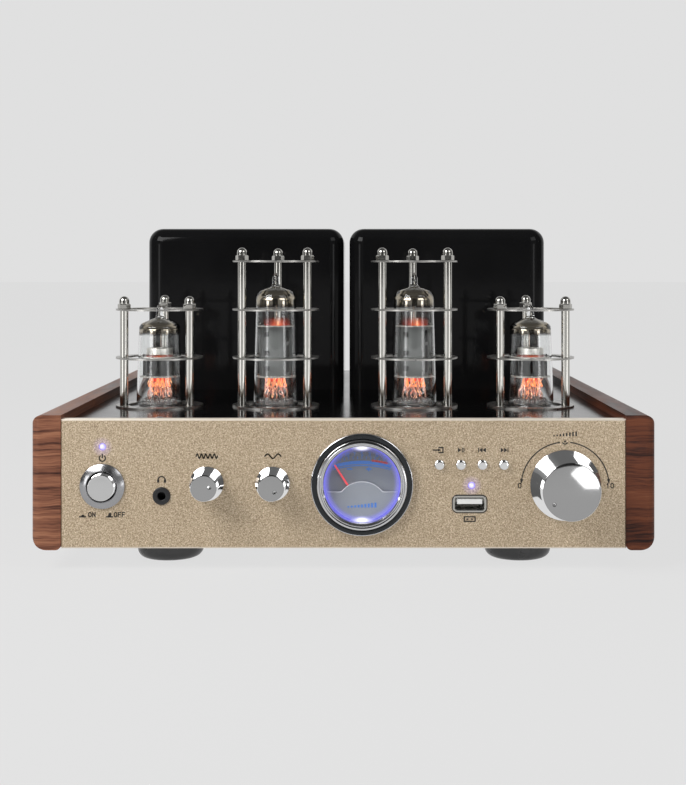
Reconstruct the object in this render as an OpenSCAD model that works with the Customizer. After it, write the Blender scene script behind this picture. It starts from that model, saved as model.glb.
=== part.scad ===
// Desktop stereo amplifier with four vacuum tubes in ringed cages.
// X runs across the front, Y from the front to the back and Z up, in millimetres.
// The origin is on the table, in the middle of the overall width and depth.
// A share is a place across the front or the back: X from the middle as a part of the panel's width.
// Heights of the front controls are above the panel's lower edge.
// A setback is a distance behind the face of the front panel.

/* [Cabinet] */
// Width of the front panel and of the steel chassis
panel_w = 250; // [225:1:290]
// Height of the front panel
panel_h = 57.1; // [57:0.1:80]
// Thickness of the front panel
panel_t = 6; // [4:0.5:8]
// Chamfer along the front panel's edges
panel_chamfer = 0.6; // [0.2:0.1:1.2]
// Depth from the panel's face to the rear panel's outer face
cabinet_d = 310; // [300:1:360]
// Thickness of the folded steel sheet
sheet_t = 1.2; // [0.8:0.1:1.6]
// Width of the flanges that turn inwards round the tray
flange_w = 10; // [9:0.5:12]
// Height of the panel's top edge above the deck
deck_drop = 2.2; // [1:0.1:5]
// Thickness of a wooden side panel
side_t = 13.3; // [9:0.1:18]
// Height of a side panel above the front panel's top edge
side_rise = 1.8; // [0:0.1:5]
// Height by which a side panel reaches below the front panel
side_drop = 0.8; // [0:0.1:4]
// Rounding along a side panel's upper outer edge
side_round = 5; // [2:0.5:8]
// Rounding along a side panel's lower outer edge
side_low_round = 7; // [2:0.5:8]
// Rounding along a side panel's lower inner edge
side_inner_round = 2.5; // [0.5:0.5:4]
// Rounding of a side panel's outer upright edges
side_end_round = 4; // [1:0.5:8]

/* [Feet] */
// Diameter of a foot
foot_d = 30.5; // [26:0.5:40]
// Height of a foot
foot_h = 10; // [9:0.5:20]
// Rounding of a foot's lower edge
foot_round = 4; // [2:0.5:7]
// Distance of the feet from the chassis's sides
foot_side = 44.2; // [30:0.1:55]
// Setback of the front feet, and of the rear feet from the rear face
foot_inset = 33; // [25:1:60]
// Diameter of the screw recess under a foot
foot_recess_d = 11; // [8:0.5:12]
// Depth of the screw recess under a foot
foot_recess_h = 5; // [3.5:0.5:6]

/* [Screws] */
// Thread diameter of the case screws
screw_d = 3; // [2.5:0.5:3.5]
// Diameter of a screw's domed head
screw_head_d = 6; // [5.5:0.1:7]
// Height of a screw's domed head
screw_head_h = 2.2; // [1.6:0.1:2.6]
// Length of a case screw under its head
screw_l = 6; // [5:0.5:8]
// Distance of the deck screws from the chassis's sides
deck_screw_side = 42; // [25:1:65]
// Setback of the front deck screws, and of the rear ones from the rear face
deck_screw_inset = 12.2; // [11.6:0.1:13]

/* [Transformers] */
// Distance from a transformer cover to the chassis's side
cover_side = 11.6; // [8:0.1:18]
// Depth of a transformer cover
cover_d = 120; // [110:1:130]
// Height of a transformer cover above the deck
cover_h = 91.6; // [75:0.1:110]
// Rounding of a cover's edges
cover_round = 6; // [3:0.5:12]
// Wall of a cover
cover_t = 1.5; // [1:0.1:2.5]
// Width of a cover's rim that turns inwards at the bottom
cover_rim = 8; // [4:0.5:10]
// Gap between the two covers
cover_gap = 3.4; // [1:0.1:8]
// Setback of the covers' front faces
cover_setback = 168; // [150:1:172]
// Width of the middle leg of a transformer core, which sets its other proportions
core_leg = 22; // [18:0.1:27]
// Thickness of a core's stack of laminations
core_stack = 36; // [25:1:50]
// Clearance of a coil in its core
coil_gap = 0.5; // [0.2:0.1:1]
// Diameter of the lead hole in the deck under a cover
lead_hole_d = 14; // [8:1:16]

/* [Tubes] */
// Setback of the row of tubes
tube_setback = 79.5; // [70:0.5:95]
// Distance of the short tubes from the chassis's sides
short_tube_side = 32; // [29:0.5:37]
// Share of the tall tubes
tall_tube_share = 0.1388; // [0.12:0.0002:0.152]
// Diameter of a bulb at its base
bulb_d = 23.1; // [21:0.1:24]
// Diameter of a bulb at its shoulder
bulb_shoulder_d = 20.4; // [18:0.1:24]
// Thickness of the glass
glass_t = 0.9; // [0.6:0.1:1.2]
// Height of a short bulb without its tip
short_bulb_h = 44.8; // [40:0.1:48]
// Height of a tall bulb without its tip
tall_bulb_h = 60.5; // [54:0.1:70]
// Rounding of a bulb's shoulder
shoulder_r = 3; // [1.5:0.1:4.5]
// Height of a bulb's sloping top
dome_h = 6; // [5.5:0.1:8]
// Rounding of a bulb's lower edge
base_round = 2.6; // [1.5:0.1:3.5]
// Height of the sealed-off tip
tip_h = 6.4; // [4:0.1:8]
// Diameter of the tip
tip_d = 3.6; // [2.4:0.1:4]
// Hollow where the tip flares into the sloping top
tip_flare = 2; // [1:0.1:3]
// Height of the leads between a tube's stem and its lower mica
lead_h = 12.2; // [8:0.1:14]
// Height of the glass button stem
stem_h = 2.4; // [1.5:0.1:3]
// Height of the plate of a short tube
short_plate_h = 9; // [7:0.1:13]
// Height of the plate of a tall tube
tall_plate_h = 24.6; // [18:0.1:30]
// Height of the shield cup above the plate of a short tube
short_cup_h = 4.4; // [2:0.1:6]
// Diameter of the shield cup
cup_d = 13; // [10:0.1:15]
// Width of a plate between its two round ends
plate_w = 14; // [11:0.1:15]
// Depth of a plate
plate_d = 9; // [6:0.1:11]
// Thickness of a mica disc
mica_t = 0.6; // [0.4:0.1:1]
// Clearance of a mica disc in its bulb
mica_gap = 0.3; // [0.2:0.05:0.6]
// Diameter of the circle of nine tube pins
pin_circle = 11.9; // [11:0.1:13]
// Diameter of a tube pin
pin_d = 1; // [0.8:0.1:1.2]
// Length of a tube pin below the stem
pin_l = 7; // [5:0.5:9]
// Diameter of a socket's neck in the deck
socket_neck_d = 24; // [22:0.5:26]
// Diameter of a socket's flange under the deck
socket_flange_d = 29; // [27:0.5:31]
// Diameter of a socket's body
socket_body_d = 20; // [17:0.5:21]
// Length of a socket below the deck's top face
socket_l = 15; // [12:0.5:18]

/* [Cages] */
// Outer diameter of a cage ring
ring_d = 43.4; // [42.5:0.1:46]
// Bore of a cage ring
ring_bore = 31; // [29:0.5:32]
// Thickness of a cage ring
ring_t = 0.8; // [0.6:0.1:1.2]
// Distance from one ring to the next
ring_pitch = 24; // [22:0.5:27]
// Tiers of stand-offs round a short tube
short_tiers = 2; // [2:1:3]
// Tiers of stand-offs round a tall tube
tall_tiers = 3; // [3:1:4]
// Diameter of the circle of stand-offs
post_circle = 37.4; // [37:0.1:38]
// Diameter of a stand-off
post_d = 4.1; // [3.9:0.1:4.8]
// Thread diameter of a stand-off's stud
stud_d = 2.6; // [2:0.1:3]
// Length of a stand-off's stud
stud_l = 5; // [4:0.5:7]
// Size of a cap nut's hexagon across its corners
nut_d = 6.4; // [5.4:0.1:7]
// Height of a cap nut's hexagon
nut_h = 2.6; // [2:0.1:3.5]
// Diameter of a cap nut's dome
nut_dome_d = 5; // [4.2:0.1:5.2]

/* [Knobs] */
// Share of the volume knob
volume_share = 0.392; // [0.38:0.0004:0.4]
// Height of the volume knob
volume_z = 28.1; // [26:0.1:32]
// Diameter of the volume knob's base
volume_base_d = 31; // [28:0.1:33]
// Diameter of the volume knob's face
volume_face_d = 25.4; // [22:0.1:27]
// Length of the volume knob
volume_l = 18.9; // [17.5:0.1:24]
// Share of the treble knob
treble_share = -0.2416; // [-0.252:0.0004:-0.224]
// Share of the bass knob
bass_share = -0.1248; // [-0.14:0.0004:-0.12]
// Height of the treble and bass knobs
tone_z = 28.8; // [24:0.1:34]
// Diameter of a tone knob's base
tone_base_d = 15; // [14.5:0.1:19]
// Diameter of a tone knob's face
tone_face_d = 11.8; // [10.5:0.1:13]
// Length of a tone knob
tone_l = 12.8; // [11:0.1:17]
// Clearance between a knob and the panel
knob_gap = 0.6; // [0.4:0.1:1.5]
// Height of a knob's straight base flange
knob_flange_h = 1.8; // [1:0.1:3]
// Rounding at a knob's front edge
knob_edge = 0.6; // [0.3:0.1:1]
// Diameter of the dimple in a knob's face
dimple_d = 2; // [1:0.1:2.5]
// Distance of a dimple from the edge of the face
dimple_inset = 3.3; // [2:0.1:4]
// Direction of the volume dimple, clockwise from the top
volume_angle = -125; // [-150:1:150]
// Direction of the treble dimple, clockwise from the top
treble_angle = 83; // [-150:1:150]
// Direction of the bass dimple, clockwise from the top
bass_angle = 140; // [-150:1:150]
// Diameter of a control shaft
shaft_d = 6; // [5:0.1:6.4]
// Solid front of a knob over the end of its shaft
knob_front_t = 5; // [3.5:0.1:7]
// Diameter of a potentiometer's threaded bushing
bushing_d = 8; // [7.6:0.1:9]
// Diameter of a potentiometer
pot_d = 17; // [14:0.5:18]
// Length of a potentiometer behind the chassis wall
pot_l = 9; // [7:0.5:14]

/* [Power button] */
// Share of the power button and of the lamp over it
power_share = -0.4264; // [-0.428:0.0004:-0.416]
// Height of the power button
power_z = 27.5; // [22:0.1:29]
// Diameter of the power button's bezel
bezel_d = 20; // [17.5:0.1:21]
// Height of the bezel's rim
bezel_h = 2.4; // [1.5:0.1:4]
// Diameter of the bezel's nose in the panel
bezel_nose_d = 16; // [15.4:0.1:17]
// Bore of the bezel
bezel_bore = 13.6; // [13:0.1:14]
// Diameter of the power button's cap
cap_d = 11.8; // [10:0.1:12.2]
// How far the latched cap stands out
cap_proud = 4.6; // [3.5:0.1:8]
// Travel of the cap when it is released
power_travel = 3; // [2:0.1:3.5]
// Travel past the latch
power_over = 0.5; // [0.2:0.1:1]
// Diameter of the power button's plunger
plunger_d = 5; // [4:0.1:6]
// Size of the power switch, square
switch_w = 18; // [17.6:0.1:20]
// Length of the power switch behind the chassis wall
switch_l = 22; // [18:0.5:30]

/* [Small buttons] */
// Share of the first small button
button_share = 0.17; // [0.164:0.001:0.176]
// Share from one small button to the next
button_step_share = 0.038; // [0.036:0.0005:0.039]
// Height of the row of small buttons
button_z = 37; // [36:0.1:42]
// Diameter of a small button
button_d = 4; // [3:0.1:4.4]
// How far a small button stands out
button_proud = 2; // [1.2:0.1:3]
// Travel of a small button
button_travel = 0.8; // [0.3:0.1:1.1]
// Clearance round a small button in the panel
button_gap = 0.25; // [0.15:0.05:0.4]
// Diameter of a small button's retaining flange
button_flange_d = 6; // [5.6:0.1:7]
// Thickness of a small button's retaining flange
button_flange_t = 1; // [0.6:0.1:1.4]
// Distance from the chassis wall to the control board
control_depth = 12; // [10:0.5:16]
// Height of a push switch on the control board
push_switch_h = 5; // [3.5:0.1:6]

/* [Level meter] */
// Share of the meter
meter_share = 0.0328; // [0.016:0.0004:0.036]
// Height of the meter's middle
meter_z = 28.6; // [26:0.1:32]
// Diameter of the meter's bezel
meter_d = 45.3; // [43.5:0.1:48]
// How far the meter's bezel stands out
meter_proud = 5; // [4:0.1:8]
// Diameter of the window in the bezel
window_d = 34; // [32:0.1:35.5]
// Diameter of the meter's can
can_d = 39; // [38.6:0.1:41]
// Wall of the can in front of the dial's seat
can_t = 1.2; // [0.8:0.1:1.5]
// Depth of the can behind the panel's face
can_l = 24; // [20:0.5:30]
// Thickness of the glass
meter_glass_t = 2.2; // [1.5:0.1:2.6]
// Setback of the dial's face
dial_setback = 6; // [5:0.1:7]
// Thickness of the dial
dial_t = 1; // [0.6:0.1:2]
// Distance of the needle's pivot below the meter's middle
pivot_drop = 11; // [9:0.1:12]
// Length of the needle from its pivot
needle_l = 22.3; // [18:0.1:24.5]
// Width of the needle
needle_w = 0.8; // [0.5:0.1:1.2]
// Thickness of the needle
needle_t = 0.5; // [0.3:0.1:0.8]
// Diameter of the needle's hub
hub_d = 4.4; // [3.6:0.1:5.5]
// Diameter of the needle's pivot pin
pivot_d = 1.6; // [1:0.1:2]
// Direction of the resting needle, clockwise from the top
needle_angle = -33; // [-34:1:-20]
// Height of the mask's straight edge below the meter's middle
mask_drop = 4; // [1:0.1:5]
// Radius of the round hump on the mask, about the needle's pivot
hump_r = 11.5; // [9:0.1:13]
// Thickness of the mask
mask_t = 0.8; // [0.5:0.1:1]

/* [Lamps and sockets] */
// Height of the power lamp
power_led_z = 44.9; // [44.4:0.1:49]
// Share of the lamp over the USB socket
usb_led_share = 0.2268; // [0.216:0.0004:0.236]
// Height of the lamp over the USB socket
usb_led_z = 27.8; // [26.6:0.1:28.5]
// Diameter of a lamp
led_d = 3; // [2:0.1:3.2]
// How far a lamp's dome stands out
led_proud = 0.4; // [0.2:0.1:1]
// Share of the headphone jack
headphone_share = -0.3216; // [-0.332:0.0004:-0.316]
// Height of the headphone jack
headphone_z = 23.2; // [18:0.1:28]
// Diameter of the headphone jack's ring
jack_ring_d = 7.9; // [7.4:0.1:9]
// Height of the headphone jack's ring
jack_ring_h = 1; // [0.6:0.1:2]
// Diameter of the headphone jack's nose
jack_nose_d = 6; // [5.4:0.1:6.8]
// Bore of the headphone jack
jack_bore = 3.6; // [3.6:0.05:3.7]
// Depth of the headphone jack's bore
jack_bore_l = 16; // [14.5:0.5:18]
// Share of the USB socket
usb_share = 0.2232; // [0.216:0.0004:0.232]
// Height of the USB socket's middle
usb_z = 19.7; // [17:0.1:20.2]
// Width of the USB socket's flared rim
usb_rim_w = 15; // [14.4:0.1:16]
// Height of the USB socket's flared rim
usb_rim_h = 7.5; // [7:0.1:8.2]
// Width of the USB socket's opening
usb_w = 12.5; // [12.5:0.1:12.8]
// Height of the USB socket's opening
usb_h = 5.1; // [5.1:0.1:5.3]
// Depth of the USB socket's opening
usb_l = 12; // [11:0.5:14]
// Width of the USB socket's tongue
tongue_w = 11.1; // [10.5:0.1:11.2]
// Thickness of the USB socket's tongue
tongue_t = 1.84; // [1.6:0.02:1.9]

/* [Back] */
// Share of the four speaker posts' middle
posts_share = -0.264; // [-0.28:0.004:-0.24]
// Distance from one speaker post to the next
post_pitch = 19; // [16:0.5:20]
// Height of the back's sockets
back_z = 27; // [26:0.5:29]
// Diameter of a speaker post's metal stem
stem_d = 6; // [5.6:0.1:7]
// Bore of a speaker post for a banana plug
banana_d = 4.1; // [4.02:0.02:4.2]
// Depth of the bore for a banana plug
banana_l = 16; // [14:0.5:18]
// Diameter of a speaker post's collar
collar_d = 13; // [12:0.1:14]
// Height of a speaker post's collar
collar_h = 4; // [3:0.1:6]
// Diameter of a speaker post's screw cap
screw_cap_d = 12; // [10:0.1:12.4]
// Length of a speaker post's screw cap
screw_cap_l = 17.6; // [15:0.1:20]
// Clearance between a screw cap and its collar
screw_cap_gap = 0.4; // [0.2:0.1:0.8]
// Grip ribs round a screw cap
cap_ribs = 16; // [10:1:20]
// Share of the phono jacks' middle
phono_share = 0.088; // [0.072:0.004:0.12]
// Distance between the phono jacks
phono_pitch = 18; // [15:0.5:20]
// Diameter of a phono jack's sleeve
phono_d = 8.3; // [8.2:0.05:8.4]
// Length of a phono jack's sleeve
phono_l = 9; // [8:0.5:11]
// Bore of a phono jack
phono_bore = 3.3; // [3.2:0.05:3.4]
// Diameter of a phono jack's flange
phono_flange_d = 11; // [10:0.5:12]
// Share of the mains inlet
inlet_share = 0.34; // [0.3:0.004:0.36]
// Width of the mains inlet's opening
inlet_w = 24.2; // [24:0.1:24.6]
// Height of the mains inlet's opening
inlet_h = 16.6; // [16.4:0.1:17]
// Depth of the mains inlet's opening
inlet_l = 16; // [15:0.5:18]
// Wall round the mains inlet's opening
inlet_wall = 1.5; // [1:0.1:2]
// Width of the mains inlet's rim outside its wall
inlet_rim = 2.4; // [1.5:0.1:3]
// Height of the mains inlet's rim
inlet_rim_h = 2.5; // [1.5:0.1:4]

/* [Inside] */
// Distance of the main circuit board from the chassis's sides
board_side = 30; // [20:1:45]
// Depth of the main circuit board
board_d = 170; // [150:1:180]
// Setback of the main circuit board
board_setback = 44; // [40:1:60]
// Height of the main circuit board above the tray's floor
board_lift = 8; // [6:0.5:12]
// Thickness of a circuit board
board_t = 1.6; // [1:0.1:2]
// Diameter of the reservoir capacitors
capacitor_d = 22; // [16:1:24]
// Height of the reservoir capacitors
capacitor_h = 30; // [20:1:33]
// Width of the heat sink
sink_w = 120; // [80:1:140]
// Depth of the heat sink
sink_d = 34; // [24:1:40]
// Height of the heat sink
sink_h = 30; // [20:1:40]
// Fins on the heat sink
sink_fins = 12; // [6:1:14]
// Thickness of a fin
fin_t = 2; // [1:0.1:3]

/* [Clearances] */
// Running clearance round a shaft, on the radius
run_gap = 0.05; // [0.02:0.01:0.1]
// Clearance round a fixed piece in its hole, on the radius
fit_gap = 0.1; // [0.05:0.01:0.15]

/* [Hidden] */
$fn = 64;
// Length by which a cut runs past a face
over = 1;

// Overall reach and the main planes
front_reach = knob_gap + max(volume_l, tone_l);
rear_reach = collar_h + screw_cap_gap + screw_cap_l;
overall_d = front_reach + cabinet_d + rear_reach;
front_y = front_reach - overall_d / 2;
rear_y = front_y + cabinet_d;
tray_front = front_y + panel_t;
tray_back = rear_y - sheet_t;
tray_d = tray_back - tray_front;
panel_z = foot_h;
floor_z = panel_z + sheet_t;
deck_z = panel_z + panel_h - deck_drop;
under_deck = deck_z - sheet_t;
tray_h = under_deck - panel_z;
// Setback of the chassis wall's inner face, behind which the controls are fixed
wall_setback = panel_t + sheet_t;
control_setback = wall_setback + control_depth;

// Places across, from the middle of the width
half_w = panel_w / 2;
foot_x = half_w - foot_side;
deck_screw_x = half_w - deck_screw_side;
short_tube_x = half_w - short_tube_side;
tall_tube_x = tall_tube_share * panel_w;
cover_w = half_w - cover_side - cover_gap / 2;
cover_x = (cover_gap + cover_w) / 2;
board_w = panel_w - 2 * board_side;
power_x = power_share * panel_w;
headphone_x = headphone_share * panel_w;
treble_x = treble_share * panel_w;
bass_x = bass_share * panel_w;
meter_x = meter_share * panel_w;
button_x = button_share * panel_w;
button_pitch = button_step_share * panel_w;
usb_x = usb_share * panel_w;
usb_led_x = usb_led_share * panel_w;
volume_x = volume_share * panel_w;
posts_x = posts_share * panel_w;
phono_x = phono_share * panel_w;
inlet_x = inlet_share * panel_w;

// Transformer core proportions of a standard lamination without waste
core_w = 3 * core_leg;
core_h = 2.5 * core_leg;
core_window_w = core_leg / 2;
core_window_h = 1.5 * core_leg;
coil_w = core_leg + 2 * (core_window_w - coil_gap);
cover_y = front_y + cover_setback + cover_d / 2;

// Tubes from left to right: X, tiers of the cage, heights of the bulb, the plate and the shield cup
tubes = [
    [-short_tube_x, short_tiers, short_bulb_h, short_plate_h, short_cup_h],
    [-tall_tube_x, tall_tiers, tall_bulb_h, tall_plate_h, 0],
    [tall_tube_x, tall_tiers, tall_bulb_h, tall_plate_h, 0],
    [short_tube_x, short_tiers, short_bulb_h, short_plate_h, short_cup_h]
];
// Directions of a cage's three stand-offs, with one at the back
post_angles = [90, 210, 330];
// Turn of a cap nut that puts a corner to each side
nut_turn = 30;
socket_flange_t = 2;
pin_step = 36;
pin_count = 9;
grid_rise = 2;
seam_w = 1.5;
// Inner radius of a bulb at a height above the deck
function bulb_inner_r(h, z) =
    (bulb_d + (bulb_shoulder_d - bulb_d) * min(1, z / (h - dome_h))) / 2 - glass_t;

// Small buttons from left to right
button_names = ["input", "play", "previous", "next"];
function button_at(i) = button_x + i * button_pitch;
push_switch_w = 6;
press_gap = 0.1;
button_stem_d = 3;
button_chamfer = 0.4;
// Control board round the buttons and the USB socket
control_margin = 10;
control_low = usb_z - control_margin;
control_high = button_z + control_margin / 2;
control_left = button_at(0) - control_margin;
control_right = button_at(3) + control_margin;
spacer_d = 5;
spacer_inset = 3.5;

// Lamp flange behind the panel
led_flange_w = 0.5;
led_flange_t = 1;
led_flange_d = led_d + 2 * led_flange_w;

// Front holes: X, height, diameter through the panel, diameter through the chassis wall
front_holes = concat(
    [
        [power_x, power_led_z, led_d, led_flange_d],
        [usb_led_x, usb_led_z, led_d, led_flange_d],
        [power_x, power_z, bezel_nose_d, bezel_nose_d],
        [headphone_x, headphone_z, jack_nose_d, jack_nose_d],
        [volume_x, volume_z, bushing_d, bushing_d],
        [treble_x, tone_z, bushing_d, bushing_d],
        [bass_x, tone_z, bushing_d, bushing_d],
        [meter_x, meter_z, can_d, can_d]
    ],
    [for (i = [0:3]) [
        button_at(i), button_z, button_d + 2 * (button_gap - fit_gap), button_flange_d + 2 * button_gap
    ]]
);
// Knobs: name, X, height, diameter of the base, diameter of the face, length, direction of the dimple
knobs = [
    ["volume", volume_x, volume_z, volume_base_d, volume_face_d, volume_l, volume_angle],
    ["treble", treble_x, tone_z, tone_base_d, tone_face_d, tone_l, treble_angle],
    ["bass", bass_x, tone_z, tone_base_d, tone_face_d, tone_l, bass_angle]
];
// Width left for a knob's neck outside its face, as a share of the flange's
neck_share = 0.25;
// Depth of a shaft in its potentiometer, and the wall behind the shaft's end
pot_back_t = 2;
lug_w = 11;
shaft_setback = wall_setback + pot_l - pot_back_t;

// Layers of the meter behind the panel's face
needle_gap = 0.9;
needle_setback = dial_setback - needle_gap - needle_t;
mask_setback = needle_setback - needle_gap - mask_t;
dial_d = can_d - 2 * can_t - 2 * fit_gap;
seat_t = 1.5;
glass_seat = 0.8;

// Power switch behind the cap
cap_tail = 1;
press_room = 1;
cap_back = wall_setback + cap_tail;
switch_front = cap_back + power_over + press_room;
plunger_setback = switch_front + 2 * power_travel;

// Screws
screw_dome_r = (pow(screw_head_d / 2, 2) + pow(screw_head_h, 2)) / (2 * screw_head_h);
panel_skin = 1.5;
panel_screw_l = sheet_t + panel_t - panel_skin - fit_gap;
screw_tip = 1.5;
foot_screw_l = foot_h - foot_recess_h + sheet_t + screw_tip;
foot_ys = [front_y + foot_inset, rear_y - foot_inset];
deck_screw_ys = [front_y + deck_screw_inset, rear_y - deck_screw_inset];
corner_inset = flange_w / 2;
rear_screw_zs = [corner_inset, tray_h - corner_inset];
side_screw_ys = [for (i = [1:2:5]) front_y + i * cabinet_d / 6];
side_screw_z = panel_z + panel_h / 2;
panel_screw_x = half_w - corner_inset;
panel_screw_zs = [corner_inset, tray_h - corner_inset];

// Back: X of the speaker posts and of the phono jacks
post_xs = [for (i = [0:3]) posts_x + (i - 1.5) * post_pitch];
phono_xs = [for (s = [-1, 1]) phono_x + s * phono_pitch / 2];
post_recess = 1;
post_end = rear_reach - post_recess;
back_nut_t = 3;
back_tail = 8;
phono_tail_d = 6;
inlet_body_w = inlet_w + 2 * inlet_wall;
inlet_body_h = inlet_h + 2 * inlet_wall;
inlet_pin_w = 2;
inlet_pin_h = 4;
inlet_pin_pitch = 7;
inlet_pin_rise = 2;
inlet_corner = 5;
inlet_back_t = 4;

// Slots in the tray's floor
vent_w = 3;
vent_l = 36;
vent_pitch = 9;
vent_count = 9;
vent_y = front_y + board_setback + (board_d - (vent_count - 1) * vent_pitch) / 2;

// Colours of the materials
champagne = [0.70, 0.64, 0.55];
walnut = [0.40, 0.24, 0.16];
gloss_black = [0.06, 0.06, 0.07];
steel = [0.72, 0.73, 0.74];
chrome = [0.86, 0.87, 0.88];
glass_tint = [0.85, 0.90, 0.92, 0.35];
plate_grey = [0.45, 0.46, 0.47];
rubber_black = [0.10, 0.10, 0.10];
copper = [0.70, 0.40, 0.22];
ceramic = [0.90, 0.88, 0.83];
board_green = [0.10, 0.30, 0.18];
lamp_blue = [0.45, 0.42, 0.95];
dial_grey = [0.72, 0.73, 0.76];

// Places: local X to the right, local Y up and local Z out of the face
module front_at(x, z) {
    translate([x, front_y, panel_z + z]) rotate([90, 0, 0]) children();
}
module rear_at(x, z) {
    translate([x, rear_y, panel_z + z]) rotate([90, 0, 180]) children();
}
module deck_at(x, setback) {
    translate([x, front_y + setback, deck_z]) children();
}

// Shapes that repeat
module rod(d, low, high) {
    translate([0, 0, low]) cylinder(d = d, h = high - low);
}
module block(w, h, low, high) {
    translate([-w / 2, -h / 2, low]) cube([w, h, high - low]);
}
module rounded(w, h, r) {
    square([w - 2 * r, h], center = true);
    square([w, h - 2 * r], center = true);
    for (sx = [-1, 1])
        for (sy = [-1, 1])
            translate([sx * (w / 2 - r), sy * (h / 2 - r)]) circle(r);
}
// Upright outline with its two upper corners rounded
module arched(w, h, r) {
    intersection() {
        translate([0, h / 2 - r]) rounded(w, h + 2 * r, r);
        translate([-w, 0]) square([2 * w, h]);
    }
}
module dome_screw(l) {
    rotate_extrude()
        intersection() {
            translate([0, screw_head_h - screw_dome_r]) circle(screw_dome_r);
            square([screw_head_d / 2, screw_head_h]);
        }
    rod(screw_d, -l, screw_head_h / 2);
}

// Cabinet
module front_panel() {
    c = panel_chamfer;
    color(champagne)
    difference() {
        translate([0, front_y, panel_z])
            intersection() {
                linear_extrude(panel_h)
                    polygon([
                        [-half_w, panel_t], [-half_w, c], [c - half_w, 0],
                        [half_w - c, 0], [half_w, c], [half_w, panel_t]
                    ]);
                rotate([90, 0, 90])
                    linear_extrude(panel_w + 2 * over, center = true)
                        polygon([
                            [0, c], [c, 0], [panel_t, 0],
                            [panel_t, panel_h], [c, panel_h], [0, panel_h - c]
                        ]);
            }
        for (h = front_holes)
            front_at(h[0], h[1]) rod(h[2] + 2 * fit_gap, -panel_t - over, over);
        usb_cut(-panel_t - over, over);
        for (sx = [-1, 1])
            for (z = panel_screw_zs)
                front_at(sx * panel_screw_x, z)
                    rod(screw_d + 2 * fit_gap, -panel_t - over, -panel_skin);
    }
}
module usb_cut(low, high) {
    front_at(usb_x, usb_z)
        translate([0, 0, low])
            linear_extrude(high - low)
                rounded(usb_rim_w + 2 * fit_gap, usb_rim_h + 2 * fit_gap, usb_rim_h / 4);
}
module chassis_tray() {
    color(steel)
    difference() {
        translate([-half_w, tray_front, panel_z]) cube([panel_w, tray_d, tray_h]);
        translate([sheet_t - half_w, tray_front + sheet_t, floor_z])
            cube([panel_w - 2 * sheet_t, tray_d - 2 * sheet_t, tray_h - 2 * sheet_t]);
        // opening under the deck
        translate([flange_w - half_w, tray_front + flange_w, under_deck - sheet_t - over])
            cube([panel_w - 2 * flange_w, tray_d - 2 * flange_w, sheet_t + 2 * over]);
        // opening behind the rear panel
        translate([flange_w - half_w, tray_back - sheet_t - over, panel_z + flange_w])
            cube([panel_w - 2 * flange_w, sheet_t + 2 * over, tray_h - 2 * flange_w]);
        for (h = front_holes)
            front_at(h[0], h[1]) rod(h[3] + 2 * fit_gap, -wall_setback - over, over);
        usb_cut(-wall_setback - over, over);
        for (i = [0:vent_count - 1])
            for (sx = [-1, 1])
                translate([sx * board_w / 4, vent_y + i * vent_pitch, panel_z - over])
                    linear_extrude(sheet_t + 2 * over) rounded(vent_l, vent_w, vent_w / 2 - fit_gap);
        screw_holes();
    }
}
// Holes for every case screw, cut from the sheets
module screw_holes() {
    d = screw_d + 2 * fit_gap;
    for (sx = [-1, 1]) {
        for (y = deck_screw_ys)
            translate([sx * deck_screw_x, y, under_deck]) rod(d, -sheet_t - over, sheet_t + over);
        for (z = rear_screw_zs)
            rear_at(sx * panel_screw_x, z) rod(d, -2 * sheet_t - over, over);
        for (z = panel_screw_zs)
            front_at(sx * panel_screw_x, z) rod(d, -wall_setback - over, -panel_t + over);
        for (y = foot_ys)
            translate([sx * foot_x, y, panel_z]) rod(d, -over, sheet_t + over);
        for (y = side_screw_ys)
            translate([sx * half_w, y, side_screw_z])
                rotate([0, sx * 90, 0]) rod(d, -sheet_t - over, screw_l - sheet_t + fit_gap);
    }
}
module case_screws() {
    color(chrome) {
        for (sx = [-1, 1]) {
            for (y = deck_screw_ys)
                translate([sx * deck_screw_x, y, deck_z]) dome_screw(screw_l);
            for (z = rear_screw_zs)
                rear_at(sx * panel_screw_x, z) dome_screw(screw_l);
            for (z = panel_screw_zs)
                front_at(sx * panel_screw_x, z)
                    translate([0, 0, -wall_setback]) rotate([180, 0, 0]) dome_screw(panel_screw_l);
            for (y = foot_ys)
                translate([sx * foot_x, y, foot_recess_h]) rotate([180, 0, 0]) dome_screw(foot_screw_l);
            for (y = side_screw_ys)
                translate([sx * (half_w - sheet_t), y, side_screw_z])
                    rotate([0, -sx * 90, 0]) dome_screw(screw_l);
        }
    }
}
module top_deck() {
    color(gloss_black)
    difference() {
        translate([-half_w, tray_front, under_deck]) cube([panel_w, cabinet_d - panel_t, sheet_t]);
        for (t = tubes)
            deck_at(t[0], tube_setback) {
                rod(socket_neck_d + 2 * fit_gap, -sheet_t - over, over);
                for (a = post_angles)
                    rotate(a)
                        translate([post_circle / 2, 0])
                            rod(stud_d + 2 * fit_gap, -sheet_t - over, over);
            }
        for (sx = [-1, 1])
            translate([sx * cover_x, cover_y + cover_d / 2 - cover_rim - lead_hole_d, deck_z])
                rod(lead_hole_d, -sheet_t - over, over);
        screw_holes();
    }
}
module rear_panel() {
    color(gloss_black)
    difference() {
        translate([-half_w, tray_back, panel_z]) cube([panel_w, sheet_t, tray_h]);
        for (x = post_xs)
            rear_at(x, back_z) rod(stem_d + 2 * fit_gap, -sheet_t - over, over);
        for (x = phono_xs)
            rear_at(x, back_z) rod(phono_tail_d + 2 * fit_gap, -sheet_t - over, over);
        rear_at(inlet_x, back_z)
            block(inlet_body_w + 2 * fit_gap, inlet_body_h + 2 * fit_gap, -sheet_t - over, over);
        screw_holes();
    }
}
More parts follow.
